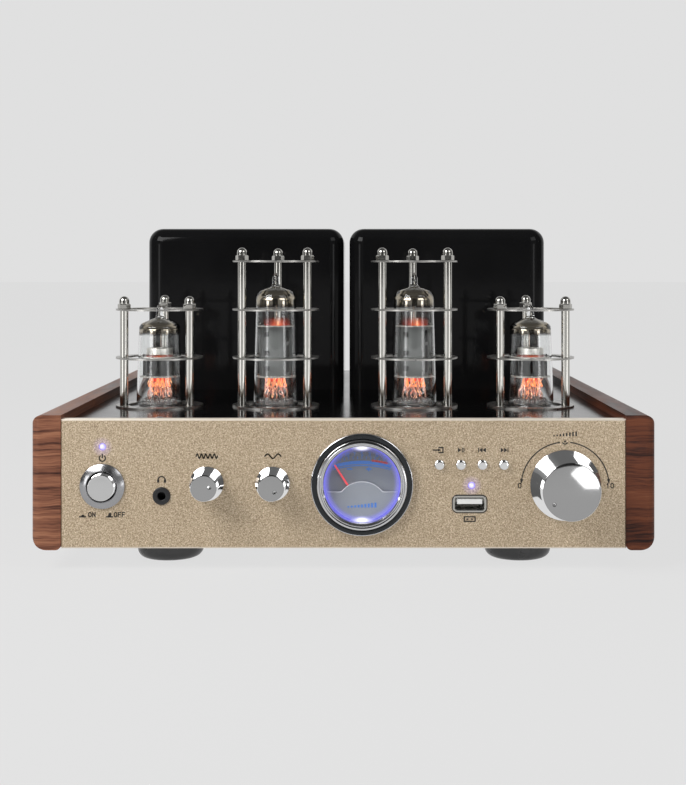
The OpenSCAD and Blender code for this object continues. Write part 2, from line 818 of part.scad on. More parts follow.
// Wooden side panel on the right
module side_panel() {
    h = side_drop + panel_h + side_rise;
    difference() {
        translate([half_w, front_y, panel_z - side_drop])
            intersection() {
                translate([0, cabinet_d, 0])
                    rotate([90, 0, 0])
                        linear_extrude(cabinet_d)
                            side_outline(side_t, h, side_inner_round, side_low_round, side_round);
                linear_extrude(h) side_outline(side_t, cabinet_d, 0, side_end_round, side_end_round);
            }
        screw_holes();
    }
}
// Rectangle from the origin with roundings at its lower near, lower far and upper far corners
module side_outline(w, h, near_r, low_r, high_r) {
    polygon([
        [near_r, 0], [w - low_r, 0], [w, low_r], [w, h - high_r], [w - high_r, h], [0, h], [0, near_r]
    ]);
    translate([w - low_r, low_r]) circle(low_r);
    translate([w - high_r, h - high_r]) circle(high_r);
    if (near_r > 0)
        translate([near_r, near_r]) circle(near_r);
}
module left_side_panel() {
    color(walnut) mirror([1, 0, 0]) side_panel();
}
module right_side_panel() {
    color(walnut) side_panel();
}
module feet() {
    color(rubber_black)
    for (sx = [-1, 1])
        for (y = foot_ys)
            translate([sx * foot_x, y, 0])
                rotate_extrude()
                    difference() {
                        intersection() {
                            translate([0, foot_h]) rounded(foot_d, 2 * foot_h, foot_round);
                            square([foot_d, foot_h]);
                        }
                        square([foot_recess_d / 2, foot_recess_h]);
                        square([screw_d / 2 + fit_gap, foot_h]);
                    }
}

// Transformers
// Drawn can with rounded upper edges, drawn inset by a wall
module cover_form(inset) {
    w = cover_w - 2 * inset;
    d = cover_d - 2 * inset;
    h = cover_h - inset;
    r = cover_round - inset;
    intersection() {
        linear_extrude(h) rounded(w, d, r);
        rotate([90, 0, 0]) linear_extrude(2 * d, center = true) arched(w, h, r);
        rotate([90, 0, 90]) linear_extrude(2 * w, center = true) arched(d, h, r);
    }
}
module transformer_cover(side) {
    color(gloss_black)
    translate([side * cover_x, cover_y, deck_z])
        difference() {
            cover_form(0);
            intersection() {
                cover_form(cover_t);
                block(cover_w, cover_d, cover_t, cover_h);
            }
            block(cover_w - 2 * cover_rim, cover_d - 2 * cover_rim, -over, cover_t + over);
        }
}
module transformer_cores() {
    color(steel)
    for (side = [-1, 1])
        translate([side * cover_x, cover_y, deck_z])
            rotate([90, 0, 0])
                linear_extrude(core_stack, center = true)
                    difference() {
                        translate([-core_w / 2, 0]) square([core_w, core_h]);
                        for (s = [-1, 1])
                            translate([s * (core_leg + core_window_w) / 2, core_h / 2])
                                square([core_window_w, core_window_h], center = true);
                    }
}
module transformer_coils() {
    color(copper)
    for (side = [-1, 1])
        translate([side * cover_x, cover_y, deck_z + core_leg / 2 + coil_gap])
            linear_extrude(core_window_h - 2 * coil_gap)
                difference() {
                    rounded(coil_w, core_stack + 2 * core_window_w, core_window_w / 3);
                    square([core_leg + 2 * coil_gap, core_stack + 2 * coil_gap], center = true);
                }
}

// Tubes
module tube_sockets() {
    color(ceramic)
    for (t = tubes)
        deck_at(t[0], tube_setback)
            difference() {
                union() {
                    rod(socket_neck_d, -sheet_t - socket_flange_t / 2, 0);
                    rod(socket_flange_d, -sheet_t - socket_flange_t, -sheet_t);
                    rod(socket_body_d, -socket_l, -sheet_t);
                }
                pin_places() rod(pin_d + 2 * fit_gap, -pin_l - over, over);
            }
}
module pin_places() {
    for (k = [0:pin_count - 1])
        rotate(pin_step * (k + 1) - 90) translate([pin_circle / 2, 0]) children();
}
// Half section of a bulb, drawn inset by the glass
module bulb_section(h, inset) {
    low_r = bulb_d / 2 - inset;
    low_round = base_round - inset;
    r = bulb_shoulder_d / 2 - inset;
    round_r = shoulder_r - inset;
    neck_r = tip_d / 2;
    // the slope leaves the shoulder's arc at a tangent and ends at the tip
    run = neck_r - (r - round_r);
    turn = atan2(dome_h, run) - acos(round_r / norm([run, dome_h]));
    shoulder = [r - round_r, h - inset - dome_h];
    polygon([
        [0, inset], [low_r - low_round, inset], [low_r, inset + low_round], [r, shoulder[1]],
        shoulder + round_r * [cos(turn), sin(turn)], [neck_r, h - inset], [0, h - inset]
    ]);
    translate([low_r - low_round, inset + low_round]) circle(low_round);
    translate(shoulder) circle(round_r);
}
// Half section of the tip, which flares into the top of a bulb
module tip_section(h) {
    r = tip_d / 2;
    low = h - tip_flare * dome_h / (bulb_shoulder_d / 2 - r);
    translate([0, low]) square([r, h + tip_h - r - low]);
    intersection() {
        translate([0, h + tip_h - r]) circle(r);
        translate([0, h]) square([r, tip_h]);
    }
    difference() {
        translate([0, low]) square([r + tip_flare, tip_flare]);
        translate([r + tip_flare, low + tip_flare]) circle(tip_flare);
    }
}
module tube_bulb(i) {
    h = tubes[i][2];
    color(glass_tint)
    deck_at(tubes[i][0], tube_setback)
        rotate_extrude()
            difference() {
                union() {
                    bulb_section(h, 0);
                    tip_section(h);
                }
                bulb_section(h, glass_t);
                // opening that the stem closes
                square([bulb_d / 2 - base_round, 2 * glass_t]);
            }
}
module tube_mount(i) {
    h = tubes[i][2];
    low = stem_h + lead_h;
    high = low + mica_t + tubes[i][3];
    getter = h - dome_h;
    color(plate_grey)
    deck_at(tubes[i][0], tube_setback) {
        rod(bulb_d - 2 * (base_round + fit_gap), 0, stem_h);
        pin_places() rod(pin_d, -pin_l, low + mica_t / 2);
        for (z = [low, high])
            rod(2 * (bulb_inner_r(h, z + mica_t) - mica_gap), z, z + mica_t);
        translate([0, 0, low]) linear_extrude(high - low) plate_outline();
        if (tubes[i][4] > 0)
            rod(cup_d, high + mica_t / 2, high + mica_t + tubes[i][4]);
        // grid supports through the upper mica, and the getter's ring on its post
        for (s = [-1, 1])
            translate([s * plate_w / 4, 0]) rod(pin_d, high, high + grid_rise);
        translate([0, plate_d / 2]) rod(pin_d, high, getter + pin_d / 2);
        translate([0, 0, getter]) rotate_extrude() translate([plate_d / 2, 0]) circle(d = pin_d);
    }
}
// Plate in plan: an oval box with a seam flange on each side
module plate_outline() {
    square([plate_w - plate_d, plate_d], center = true);
    for (s = [-1, 1])
        translate([s * (plate_w - plate_d) / 2, 0]) circle(d = plate_d);
    square([plate_w + 2 * seam_w, pin_d], center = true);
}

// Cages
module cage_rings(i) {
    color(steel)
    deck_at(tubes[i][0], tube_setback)
        for (k = [0:tubes[i][1]])
            translate([0, 0, k * ring_pitch])
                difference() {
                    rod(ring_d, 0, ring_t);
                    rod(ring_bore, -over, ring_t + over);
                    for (a = post_angles)
                        rotate(a)
                            translate([post_circle / 2, 0])
                                rod(stud_d + 2 * fit_gap, -over, ring_t + over);
                }
}
module cage_posts() {
    l = ring_pitch - ring_t;
    color(steel)
    for (t = tubes)
        deck_at(t[0], tube_setback)
            for (k = [0:t[1] - 1])
                for (a = post_angles)
                    rotate(a)
                        translate([post_circle / 2, 0, k * ring_pitch + ring_t])
                            difference() {
                                union() {
                                    rod(post_d, 0, l);
                                    rod(stud_d, -stud_l, over);
                                }
                                rod(stud_d + 2 * fit_gap, l - stud_l, l + over);
                            }
}
module cage_cap_nuts() {
    color(chrome)
    for (t = tubes)
        deck_at(t[0], tube_setback)
            for (a = post_angles)
                rotate(a)
                    translate([post_circle / 2, 0, t[1] * ring_pitch + ring_t]) {
                        rotate(nut_turn) cylinder(d = nut_d, h = nut_h, $fn = 6);
                        rod(nut_dome_d, nut_h / 2, nut_h + nut_dome_d / 4);
                        translate([0, 0, nut_h + nut_dome_d / 4]) sphere(d = nut_dome_d);
                        rod(stud_d, -stud_l, over);
                    }
}

// Knobs
module knob(k) {
    base_r = k[3] / 2;
    face_r = k[4] / 2;
    l = k[5];
    color(chrome)
    front_at(k[1], k[2])
        translate([0, 0, knob_gap])
            difference() {
                rotate_extrude() knob_section(base_r, face_r, l);
                rod(shaft_d + 2 * run_gap, -over, l - knob_front_t);
                rotate(-k[6]) translate([0, face_r - dimple_inset, l]) sphere(d = dimple_d);
            }
}
// Half section of a knob: flange, flank that sweeps in, and a rounded front edge
module knob_section(base_r, face_r, l) {
    neck_r = face_r + (base_r - face_r) * neck_share;
    sweep = base_r - neck_r;
    square([base_r, knob_flange_h]);
    difference() {
        square([base_r, knob_flange_h + sweep]);
        translate([base_r, knob_flange_h + sweep]) circle(sweep);
    }
    polygon([
        [0, 0], [neck_r, knob_flange_h], [neck_r, knob_flange_h + sweep],
        [face_r, l - knob_edge], [face_r - knob_edge, l], [0, l]
    ]);
    translate([face_r - knob_edge, l - knob_edge]) circle(knob_edge);
}
module knob_shaft(k) {
    color(steel)
    front_at(k[1], k[2]) rod(shaft_d, -shaft_setback, knob_gap + k[5] - knob_front_t);
}
module potentiometers() {
    color(steel)
    for (k = knobs)
        front_at(k[1], k[2])
            difference() {
                union() {
                    rod(pot_d, -wall_setback - pot_l, -wall_setback);
                    rod(bushing_d, -wall_setback - over, -panel_chamfer);
                    // solder lugs under the body
                    translate([0, -pot_d / 2, 0])
                        block(lug_w, pot_d / 2, -wall_setback - pot_l, -wall_setback - pot_l + pot_back_t);
                }
                rod(shaft_d + 2 * run_gap, -shaft_setback, over);
            }
}

// Power button
module power_bezel() {
    rim = bezel_d / 2;
    color(chrome)
    front_at(power_x, power_z)
        rotate_extrude()
            difference() {
                union() {
                    translate([0, -panel_t]) square([bezel_nose_d / 2, panel_t + bezel_h / 2]);
                    // ring that slopes up from its edge to the bore
                    polygon([
                        [0, 0], [rim, 0], [rim, bezel_h / 3], [bezel_bore / 2, bezel_h], [0, bezel_h]
                    ]);
                }
                translate([0, -panel_t - over]) square([bezel_bore / 2, panel_t + bezel_h + over]);
            }
}
module power_button() {
    edge = cap_d / 12;
    color(chrome)
    front_at(power_x, power_z)
        rotate_extrude()
            polygon([
                [0, -plunger_setback], [plunger_d / 2, -plunger_setback], [plunger_d / 2, -cap_back],
                [cap_d / 2, -cap_back], [cap_d / 2, cap_proud - edge],
                [cap_d / 2 - edge, cap_proud], [0, cap_proud]
            ]);
}
module power_switch() {
    color(rubber_black)
    front_at(power_x, power_z)
        difference() {
            block(switch_w, switch_w, -wall_setback - switch_l, -wall_setback);
            rod(bezel_nose_d, -switch_front, over);
            rod(plunger_d + 2 * run_gap, -plunger_setback - power_over - press_room, over);
        }
}

// Small buttons
module small_button(i) {
    stem_setback = control_setback - push_switch_h - button_travel - press_gap;
    r = button_d / 2;
    color(chrome)
    front_at(button_at(i), button_z)
        rotate_extrude()
            polygon([
                [0, -stem_setback], [button_stem_d / 2, -stem_setback],
                [button_stem_d / 2, -panel_t - button_flange_t],
                [button_flange_d / 2, -panel_t - button_flange_t],
                [button_flange_d / 2, -panel_t], [r, -panel_t],
                [r, button_proud - button_chamfer], [r - button_chamfer, button_proud], [0, button_proud]
            ]);
}
module control_board() {
    color(board_green) {
        front_at(0, 0)
            translate([control_left, control_low, -control_setback - board_t])
                cube([control_right - control_left, control_high - control_low, board_t]);
        for (x = [control_left + spacer_inset, control_right - spacer_inset])
            for (z = [control_low + spacer_inset, control_high - spacer_inset])
                front_at(x, z) rod(spacer_d, -control_setback - board_t / 2, -wall_setback);
        for (i = [0:3])
            front_at(button_at(i), button_z)
                translate([0, 0, -control_setback])
                    block(push_switch_w, push_switch_w, -board_t / 2, push_switch_h);
    }
}

// Level meter
module meter_can() {
    color(rubber_black)
    front_at(meter_x, meter_z) {
        difference() {
            rod(can_d, -can_l, 0);
            rod(can_d - 2 * can_t, -dial_setback - dial_t, over);
            rod(can_d - 2 * can_t - 2 * seat_t, seat_t - can_l, over);
        }
        // movement with the pivot pin on it
        translate([0, -pivot_drop]) {
            rod(2 * hub_d, -can_l + seat_t / 2, -dial_setback - dial_t);
            rod(pivot_d, -dial_setback - dial_t - over, -mask_setback - mask_t - needle_t / 2);
        }
    }
}
module meter_dial() {
    color(dial_grey)
    front_at(meter_x, meter_z) {
        difference() {
            rod(dial_d, -dial_setback - dial_t, -dial_setback);
            translate([0, -pivot_drop]) rod(pivot_d + 2 * fit_gap, -dial_setback - dial_t - over, over);
        }
        // mask over the pivot, standing on a rim at the dial's lower edge
        translate([0, 0, -mask_setback - mask_t])
            linear_extrude(mask_t)
                intersection() {
                    circle(d = dial_d);
                    mask_outline();
                }
        translate([0, 0, -dial_setback - dial_t / 2])
            linear_extrude(dial_setback + dial_t / 2 - mask_setback - mask_t / 2)
                intersection() {
                    difference() {
                        circle(d = dial_d);
                        circle(d = dial_d - 2 * can_t);
                    }
                    translate([-dial_d / 2, -dial_d]) square([dial_d, dial_d - mask_drop]);
                }
    }
}
module mask_outline() {
    translate([-dial_d / 2, -dial_d]) square([dial_d, dial_d - mask_drop]);
    translate([0, -pivot_drop]) circle(hump_r);
}
module meter_needle() {
    color("red")
    front_at(meter_x, meter_z - pivot_drop)
        translate([0, 0, -needle_setback - needle_t])
            difference() {
                union() {
                    cylinder(d = hub_d, h = needle_t);
                    rotate(-needle_angle)
                        linear_extrude(needle_t)
                            polygon([
                                [-needle_w / 2, -hub_d / 4], [needle_w / 2, -hub_d / 4],
                                [needle_w / 4, needle_l], [-needle_w / 4, needle_l]
                            ]);
                }
                rod(pivot_d + 2 * run_gap, -over, needle_t + over);
            }
}
module meter_glass() {
    color(glass_tint)
    front_at(meter_x, meter_z) rod(can_d - 2 * can_t + glass_seat, 0, meter_glass_t);
}
module meter_bezel() {
    outer = meter_d / 2;
    inner = window_d / 2;
    groove = (outer + inner) / 2;
    groove_h = meter_proud * 2 / 3;
    rim_edge = (outer - inner) / 10;
    color(chrome)
    front_at(meter_x, meter_z)
        rotate_extrude()
            difference() {
                // flat band with a bevelled outer edge, then a raised ring that slopes in to the window
                polygon([
                    [0, 0], [outer, 0], [outer, groove_h - rim_edge], [outer - rim_edge, groove_h],
                    [groove, groove_h], [groove - rim_edge, meter_proud],
                    [inner + 2 * rim_edge, meter_proud], [inner, groove_h], [0, groove_h]
                ]);
                square([inner, meter_proud]);
                square([(can_d - 2 * can_t + glass_seat) / 2 + fit_gap, meter_glass_t]);
            }
}

// Lamps and sockets
module leds() {
    color(lamp_blue)
    for (p = [[power_x, power_led_z], [usb_led_x, usb_led_z]])
        front_at(p[0], p[1]) {
            rod(led_flange_d, -panel_t - led_flange_t, -panel_t);
            rod(led_d, -panel_t - led_flange_t / 2, led_proud - led_d / 2);
            translate([0, 0, led_proud - led_d / 2]) sphere(d = led_d);
        }
}
module headphone_jack() {
    body = 2 * jack_nose_d;
    color(rubber_black)
    front_at(headphone_x, headphone_z)
        difference() {
            union() {
                rod(jack_ring_d, 0, jack_ring_h);
                rod(jack_nose_d, -wall_setback - over, over / 2);
                block(body, body, -jack_bore_l - over, -wall_setback);
            }
            rod(jack_bore, jack_ring_h - jack_bore_l, jack_ring_h + over);
        }
}
module usb_socket() {
    wall = 0.35;
    lip = 1;
    color(steel)
    front_at(usb_x, usb_z)
        difference() {
            union() {
                translate([0, 0, -lip]) linear_extrude(lip) rounded(usb_rim_w, usb_rim_h, usb_rim_h / 4);
                block(usb_w + 2 * wall, usb_h + 2 * wall, -control_setback, -lip / 2);
            }
            difference() {
                block(usb_w, usb_h, -usb_l, over);
                translate([-tongue_w / 2, usb_h / 2 - tongue_t - 2 * wall, -usb_l - over])
                    cube([tongue_w, tongue_t, usb_l + over - 2 * lip]);
            }
        }
}

// Inside
module main_board() {
    lift = board_lift + board_t;
    translate([0, front_y + board_setback + board_d / 2, floor_z]) {
        color(board_green) {
            block(board_w, board_d, board_lift, lift);
            for (sx = [-1, 1])
                for (sy = [-1, 1])
                    translate([sx * (board_w / 2 - spacer_d), sy * (board_d / 2 - spacer_d)])
                        rod(spacer_d, 0, lift - board_t / 2);
        }
        // reservoir capacitors in a row across the rear half
        color(rubber_black)
        for (i = [-1.5:1.5])
            translate([i * board_w / 5, board_d / 5, lift]) rod(capacitor_d, -board_t / 2, capacitor_h);
        // input selector relay and the wireless receiver
        color(steel)
        for (s = [-1, 1])
            translate([s * board_w / 4, -board_d / 3, lift])
                block(board_w / 8, board_d / 8, -board_t / 2, spacer_d);
    }
}
module heat_sink() {
    y = front_y + board_setback + board_d + sink_d / 2 + spacer_d;
    step = (sink_w - fin_t) / (sink_fins - 1);
    color(gloss_black)
    translate([0, y, floor_z]) {
        block(sink_w, sink_d, 0, fin_t * 2);
        for (i = [0:sink_fins - 1])
            translate([i * step - (sink_w - fin_t) / 2, 0]) block(fin_t, sink_d, fin_t, sink_h);
    }
}

// Back
module speaker_posts() {
    color(steel)
    for (x = post_xs)
        rear_at(x, back_z)
            difference() {
                union() {
                    rod(stem_d, -sheet_t - back_tail, post_end);
                    rod(collar_d, 0, collar_h);
                    translate([0, 0, -sheet_t - back_nut_t])
                        cylinder(d = stem_d * 2, h = back_nut_t, $fn = 6);
                }
                rod(banana_d, post_end - banana_l, post_end + over);
            }
}
module speaker_cap(i) {
    low = collar_h + screw_cap_gap;
    rib_d = screw_cap_d / 12;
    color(i % 2 == 0 ? "red" : rubber_black)
    rear_at(post_xs[i], back_z)
        difference() {
            union() {
                rod(screw_cap_d - rib_d, low, low + screw_cap_l);
                for (k = [0:cap_ribs - 1])
                    rotate(k * 360 / cap_ribs)
                        translate([(screw_cap_d - rib_d) / 2, 0])
                            rod(rib_d, low + rib_d, low + screw_cap_l - rib_d * 2);
            }
            rod(stem_d + 2 * run_gap, low - over, low + screw_cap_l + over);
        }
}
module phono_jacks() {
    color(chrome)
    for (x = phono_xs)
        rear_at(x, back_z)
            difference() {
                union() {
                    rod(phono_flange_d, 0, collar_h / 2);
                    rod(phono_d, 0, collar_h / 2 + phono_l);
                    rod(phono_tail_d, -sheet_t - back_tail, over);
                    translate([0, 0, -sheet_t - back_nut_t])
                        cylinder(d = phono_tail_d * 2, h = back_nut_t, $fn = 6);
                }
                rod(phono_bore, collar_h / 2, collar_h / 2 + phono_l + over);
            }
}
module power_inlet() {
    rim_w = inlet_body_w + 2 * inlet_rim;
    rim_h = inlet_body_h + 2 * inlet_rim;
    color(rubber_black)
    rear_at(inlet_x, back_z) {
        difference() {
            union() {
                linear_extrude(inlet_rim_h) rounded(rim_w, rim_h, inlet_rim);
                block(inlet_body_w, inlet_body_h, inlet_rim_h - inlet_l - inlet_back_t, inlet_rim_h / 2);
            }
            translate([0, 0, inlet_rim_h - inlet_l]) linear_extrude(inlet_l + over) inlet_outline();
        }
        // three flat contact pins
        for (s = [-1:1])
            translate([s * inlet_pin_pitch, (1 - 2 * abs(s)) * inlet_pin_rise])
                block(inlet_pin_w, inlet_pin_h, inlet_rim_h - inlet_l - inlet_back_t / 2, -inlet_rim_h);
    }
}
// Opening with its two upper corners cut off
module inlet_outline() {
    w = inlet_w / 2;
    h = inlet_h / 2;
    polygon([
        [-w, -h], [w, -h], [w, h - inlet_corner], [w - inlet_corner, h],
        [inlet_corner - w, h], [-w, h - inlet_corner]
    ]);
}

chassis_tray();
top_deck();
front_panel();
rear_panel();
left_side_panel();
right_side_panel();
feet();
case_screws();
transformer_cover(-1);  // left_transformer_cover
transformer_cover(1);  // right_transformer_cover
transformer_cores();
transformer_coils();
tube_sockets();
cage_posts();
cage_cap_nuts();
for (i = [0:3]) {
    tube_bulb(i);
    tube_mount(i);
    cage_rings(i);
    small_button(i);
    speaker_cap(i);
}
for (k = knobs) {
    knob(k);
    knob_shaft(k);
}
potentiometers();
power_bezel();
power_button();
power_switch();
control_board();
meter_can();
meter_dial();
meter_needle();
meter_glass();
meter_bezel();
leds();
headphone_jack();
usb_socket();
main_board();
heat_sink();
speaker_posts();
phono_jacks();
power_inlet();
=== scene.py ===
"""Looks of a desktop vacuum-tube stereo amplifier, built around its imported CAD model.

Everything is in metres in the CAD frame: X across the front, Y from front to back, Z up.
"""
import math
import random

import bmesh
import bpy
from mathutils import Matrix, Vector


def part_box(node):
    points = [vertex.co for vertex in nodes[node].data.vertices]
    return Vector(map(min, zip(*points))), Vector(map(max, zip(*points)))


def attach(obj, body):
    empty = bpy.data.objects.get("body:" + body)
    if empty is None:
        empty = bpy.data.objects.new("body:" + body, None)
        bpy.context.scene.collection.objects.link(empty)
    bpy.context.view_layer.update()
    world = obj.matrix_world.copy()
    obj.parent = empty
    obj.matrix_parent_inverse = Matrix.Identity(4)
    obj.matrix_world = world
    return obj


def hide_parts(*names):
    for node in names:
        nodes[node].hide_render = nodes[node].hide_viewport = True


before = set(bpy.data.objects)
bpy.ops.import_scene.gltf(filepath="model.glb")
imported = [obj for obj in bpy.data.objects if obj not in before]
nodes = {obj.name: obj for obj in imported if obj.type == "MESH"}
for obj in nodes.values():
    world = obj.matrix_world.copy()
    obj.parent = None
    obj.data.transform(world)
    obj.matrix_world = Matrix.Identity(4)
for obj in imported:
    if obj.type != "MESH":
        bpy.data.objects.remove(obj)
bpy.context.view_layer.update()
MM = 0.001
WIRE_SIDES, BAND_STEPS = 8, 24

# Main planes of the model
FRONT_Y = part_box("front_panel")[0].y
PANEL_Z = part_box("front_panel")[0].z
PANEL_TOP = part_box("front_panel")[1].z
REAR_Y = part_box("rear_panel")[1].y
DECK_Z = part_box("top_deck")[1].z


# Mesh helpers

def new_object(name, mesh, material, body="cabinet", smooth=True, angle=35):
    """Makes a piece from a mesh, with its material and body."""
    piece = bpy.data.objects.new(name, mesh)
    bpy.context.scene.collection.objects.link(piece)
    mesh.materials.append(material)
    if smooth:
        for face in mesh.polygons:
            face.use_smooth = True
        mesh.set_sharp_from_angle(angle=math.radians(angle))
    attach(piece, body)
    return piece


def mesh_of(build, name="mesh"):
    """Mesh from a function that fills a bmesh."""
    bm = bmesh.new()
    build(bm)
    bmesh.ops.remove_doubles(bm, verts=bm.verts, dist=1e-7)
    bmesh.ops.recalc_face_normals(bm, faces=bm.faces)
    mesh = bpy.data.meshes.new(name)
    bm.to_mesh(mesh)
    bm.free()
    return mesh


def meshed(build):
    """Makes a function that fills a bmesh return the finished mesh."""
    def make(*values):
        return mesh_of(lambda bm: build(bm, *values))
    return make


def skin(bm, rings, closed=False):
    """Faces from each ring of points to the next; closed joins the last ring to the first."""
    count = len(rings)
    for i in range(count if closed else count - 1):
        low, high = rings[i], rings[(i + 1) % count]
        for k in range(len(low)):
            n = (k + 1) % len(low)
            bm.faces.new((low[k], low[n], high[n], high[k]))


def lathe(bm, profile, place, segments=96, closed=False):
    """Turns (radius, height) points about a local Z axis; place maps local points to the frame."""
    turns = [2 * math.pi * k / segments for k in range(segments)]
    rings = []
    for radius, height in profile:
        rings.append([bm.verts.new(place(radius * math.cos(a), radius * math.sin(a), height)) for a in turns])
    skin(bm, rings, closed)


def turned(profile, place, segments=96, closed=False):
    """Mesh of one turned shape."""
    return mesh_of(lambda bm: lathe(bm, profile, place, segments, closed))


def arc_points(cx, cy, radius, start, end, steps=10):
    """Points on an arc, angles in degrees."""
    points = []
    for i in range(steps + 1):
        a = math.radians(start + (end - start) * i / steps)
        points.append((cx + radius * math.cos(a), cy + radius * math.sin(a)))
    return points


def front_place(x_mm, z_mm):
    """Local X right, Y up and Z out of the front panel's face, in millimetres, to the frame."""
    def place(x, y, z):
        return (x_mm * MM + x * MM, FRONT_Y - z * MM, PANEL_Z + z_mm * MM + y * MM)
    return place


def rear_place(x_mm, z_mm):
    """Local X left seen from the front, Y up and Z out of the rear face, in millimetres."""
    def place(x, y, z):
        return (x_mm * MM - x * MM, REAR_Y + z * MM, PANEL_Z + z_mm * MM + y * MM)
    return place


def up_place(x, y, z):
    """Local millimetres on an upright axis at a point of the frame."""
    def place(lx, ly, lz):
        return (x + lx * MM, y + ly * MM, z + lz * MM)
    return place


def box(bm, place, low, high):
    """A block between two local corners."""
    corners = []
    for z in (low[2], high[2]):
        for x, y in ((low[0], low[1]), (high[0], low[1]), (high[0], high[1]), (low[0], high[1])):
            corners.append(bm.verts.new(place(x, y, z)))
    for face in ((3, 2, 1, 0), (4, 5, 6, 7), (0, 1, 5, 4), (1, 2, 6, 5), (2, 3, 7, 6), (3, 0, 4, 7)):
        bm.faces.new([corners[i] for i in face])


def tube_along(bm, points, radius):
    """A round wire along points of the frame."""
    rings = []
    up = Vector((0.31, 0.17, 0.93)).normalized()
    count = len(points)
    for i, point in enumerate(points):
        ahead = Vector(points[min(i + 1, count - 1)]) - Vector(points[max(i - 1, 0)])
        side = ahead.cross(up).normalized()
        other = ahead.cross(side).normalized()
        ring = []
        for k in range(WIRE_SIDES):
            a = 2 * math.pi * k / WIRE_SIDES
            ring.append(bm.verts.new(Vector(point) + radius * (side * math.cos(a) + other * math.sin(a))))
        rings.append(ring)
    skin(bm, rings)
    bm.faces.new(rings[0])
    bm.faces.new(rings[-1])


def prism(bm, place, outline, low, high):
    """A flat outline raised between two heights."""
    bottom = [bm.verts.new(place(x, y, low)) for x, y in outline]
    top = [bm.verts.new(place(x, y, high)) for x, y in outline]
    bm.faces.new(bottom[::-1])
    bm.faces.new(top)
    skin(bm, (bottom, top))


def band(bm, place, center, radius, width, start, end, low, high):
    """A raised band along an arc; the radius is at the middle of the band."""
    outer = arc_points(*center, radius + width / 2, start, end, BAND_STEPS)
    inner = arc_points(*center, radius - width / 2, start, end, BAND_STEPS)
    prism(bm, place, outer + inner[::-1], low, high)


def stroke(bm, place, points, width, low, high):
    """A raised line along points, one leg at a time."""
    for (ax, ay), (bx, by) in zip(points, points[1:]):
        length = math.hypot(bx - ax, by - ay)
        dx = (bx - ax) / length * width / 2
        dy = (by - ay) / length * width / 2
        corners = [(ax - dx + dy, ay - dy - dx), (bx + dx + dy, by + dy - dx),
                   (bx + dx - dy, by + dy + dx), (ax - dx - dy, ay - dy + dx)]
        prism(bm, place, corners, low, high)


def bar(bm, place, x, half, low, high, *depths):
    """A raised upright bar about x, half its width to each side, between two heights."""
    prism(bm, place, [(x - half, low), (x + half, low), (x + half, high), (x - half, high)], *depths)


def rounded_outline(w, h, radius, steps=6):
    """Points of a rectangle with round corners, about its centre."""
    points = []
    for sx, sy, start in ((1, 1, 0), (-1, 1, 90), (-1, -1, 180), (1, -1, 270)):
        points += arc_points(sx * (w / 2 - radius), sy * (h / 2 - radius), radius, start, start + 90, steps)
    return points


def loft(bm, place, sections, cap_start=False, cap_end=False):
    """Skins a row of (outline, height) sections that have as many points each."""
    rings = [[bm.verts.new(place(x, y, z)) for x, y in outline] for outline, z in sections]
    skin(bm, rings)
    if cap_start:
        bm.faces.new(rings[0][::-1])
    if cap_end:
        bm.faces.new(rings[-1])


def cut(mesh, cutter_mesh):
    """Mesh of a solid less another solid."""
    solid = bpy.data.objects.new("solid", mesh)
    cutter = bpy.data.objects.new("cutter", cutter_mesh)
    for thing in (solid, cutter):
        bpy.context.scene.collection.objects.link(thing)
    step = solid.modifiers.new("cut", "BOOLEAN")
    step.operation = "DIFFERENCE"
    step.solver = "EXACT"
    step.object = cutter
    scene_now = bpy.context.evaluated_depsgraph_get()
    result = bpy.data.meshes.new_from_object(solid.evaluated_get(scene_now))
    for thing in (solid, cutter):
        bpy.data.objects.remove(thing)
    return result


# Material helpers

